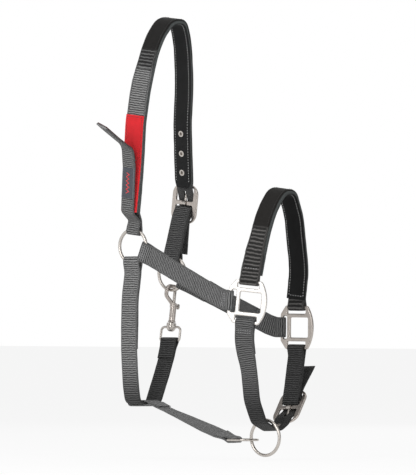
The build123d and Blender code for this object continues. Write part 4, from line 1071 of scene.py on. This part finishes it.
def stage_floor():
    bm = bmesh.new()
    size, level = 12.0, lo.z - 0.004
    corners = ((-1, -1), (1, -1), (1, 1), (-1, 1))
    bm.faces.new([bm.verts.new((x * size, y * size, level)) for x, y in corners])
    t = Tree("floor_paper")
    t.set(Base_Color=(0.9, 0.9, 0.9, 1), Roughness=0.9)
    t.bump(t.noise(60, 2.0, t.node("TexCoord", out=3)), 0.05, 0.2)
    glow = t.tree.nodes.new("ShaderNodeEmission")
    glow.inputs["Strength"].default_value = 1.0
    rays = t.tree.nodes.new("ShaderNodeLightPath")
    seen = t.math("ADD", rays.outputs["Is Camera Ray"], rays.outputs["Is Glossy Ray"], clamp=True)
    share = t.math("MULTIPLY", seen, 0.88)
    blend_node = t.tree.nodes.new("ShaderNodeMixShader")
    t.put(blend_node.inputs[0], share)
    t.put(blend_node.inputs[1], t.shader.outputs[0])
    t.put(blend_node.inputs[2], glow.outputs[0])
    t.put(t.tree.nodes["Material Output"].inputs["Surface"], blend_node.outputs[0])
    floor = finished(bm, "floor", t.material)


stage_floor()


def lamp(name, place, size, power, colour=(1, 1, 1)):
    data = bpy.data.lights.new(name, "AREA")
    data.shape = "RECTANGLE"
    data.size, data.size_y = size
    data.energy = power
    data.color = colour
    lamp_object = bpy.data.objects.new(name, data)
    bpy.context.scene.collection.objects.link(lamp_object)
    lamp_object.location = centre + Vector(place)
    lamp_object.rotation_euler = (-Vector(place)).to_track_quat("-Z", "Y").to_euler()


lamp("key", (0.15, -2.3, 0.75), (1.3, 1.3), 31)
lamp("fill_left", (-2.2, -1.4, 0.4), (1.4, 1.8), 9)
lamp("fill_right", (2.3, -0.6, 0.6), (1.4, 1.8), 12)
lamp("top", (0.2, -0.3, 2.4), (1.8, 1.8), 16)
lamp("back", (-0.6, 2.3, 0.9), (1.6, 1.6), 10)

world = bpy.data.worlds.new("studio")
bpy.context.scene.world = world
world.use_nodes = True
tree = world.node_tree
ground = tree.nodes["Background"]
ground.inputs["Color"].default_value = (1, 1, 1, 1)
ground.inputs["Strength"].default_value = 0.32
white = tree.nodes.new("ShaderNodeBackground")
white.inputs["Color"].default_value = (1, 1, 1, 1)
rays = tree.nodes.new("ShaderNodeLightPath")
mixer = tree.nodes.new("ShaderNodeMixShader")
tree.links.new(rays.outputs["Is Camera Ray"], mixer.inputs[0])
tree.links.new(ground.outputs[0], mixer.inputs[1])
tree.links.new(white.outputs[0], mixer.inputs[2])
tree.links.new(mixer.outputs[0], tree.nodes["World Output"].inputs["Surface"])

AZIMUTH, DISTANCE, PIXELS_PER_M = radians(38.0), 15.0, 800.0
SENSOR, PICTURE_HEIGHT = 36.0, 475.0
camera_data = bpy.data.cameras.new("camera")
camera_data.clip_end = 100.0
camera_data.sensor_width = SENSOR
camera_data.lens = SENSOR * DISTANCE * PIXELS_PER_M / PICTURE_HEIGHT
camera = bpy.data.objects.new("camera", camera_data)
bpy.context.scene.collection.objects.link(camera)
bpy.context.scene.camera = camera
right_way = Vector((cos(AZIMUTH), sin(AZIMUTH), 0))
back_way = Vector((sin(AZIMUTH), -cos(AZIMUTH), 0))
target = right_way * 0.04375 + Vector((0, 0, -0.2669))
camera.location = target + back_way * DISTANCE
camera.rotation_mode = "QUATERNION"
camera.rotation_quaternion = (-back_way).to_track_quat("-Z", "Y")

bpy.context.scene.view_settings.view_transform = "Standard"
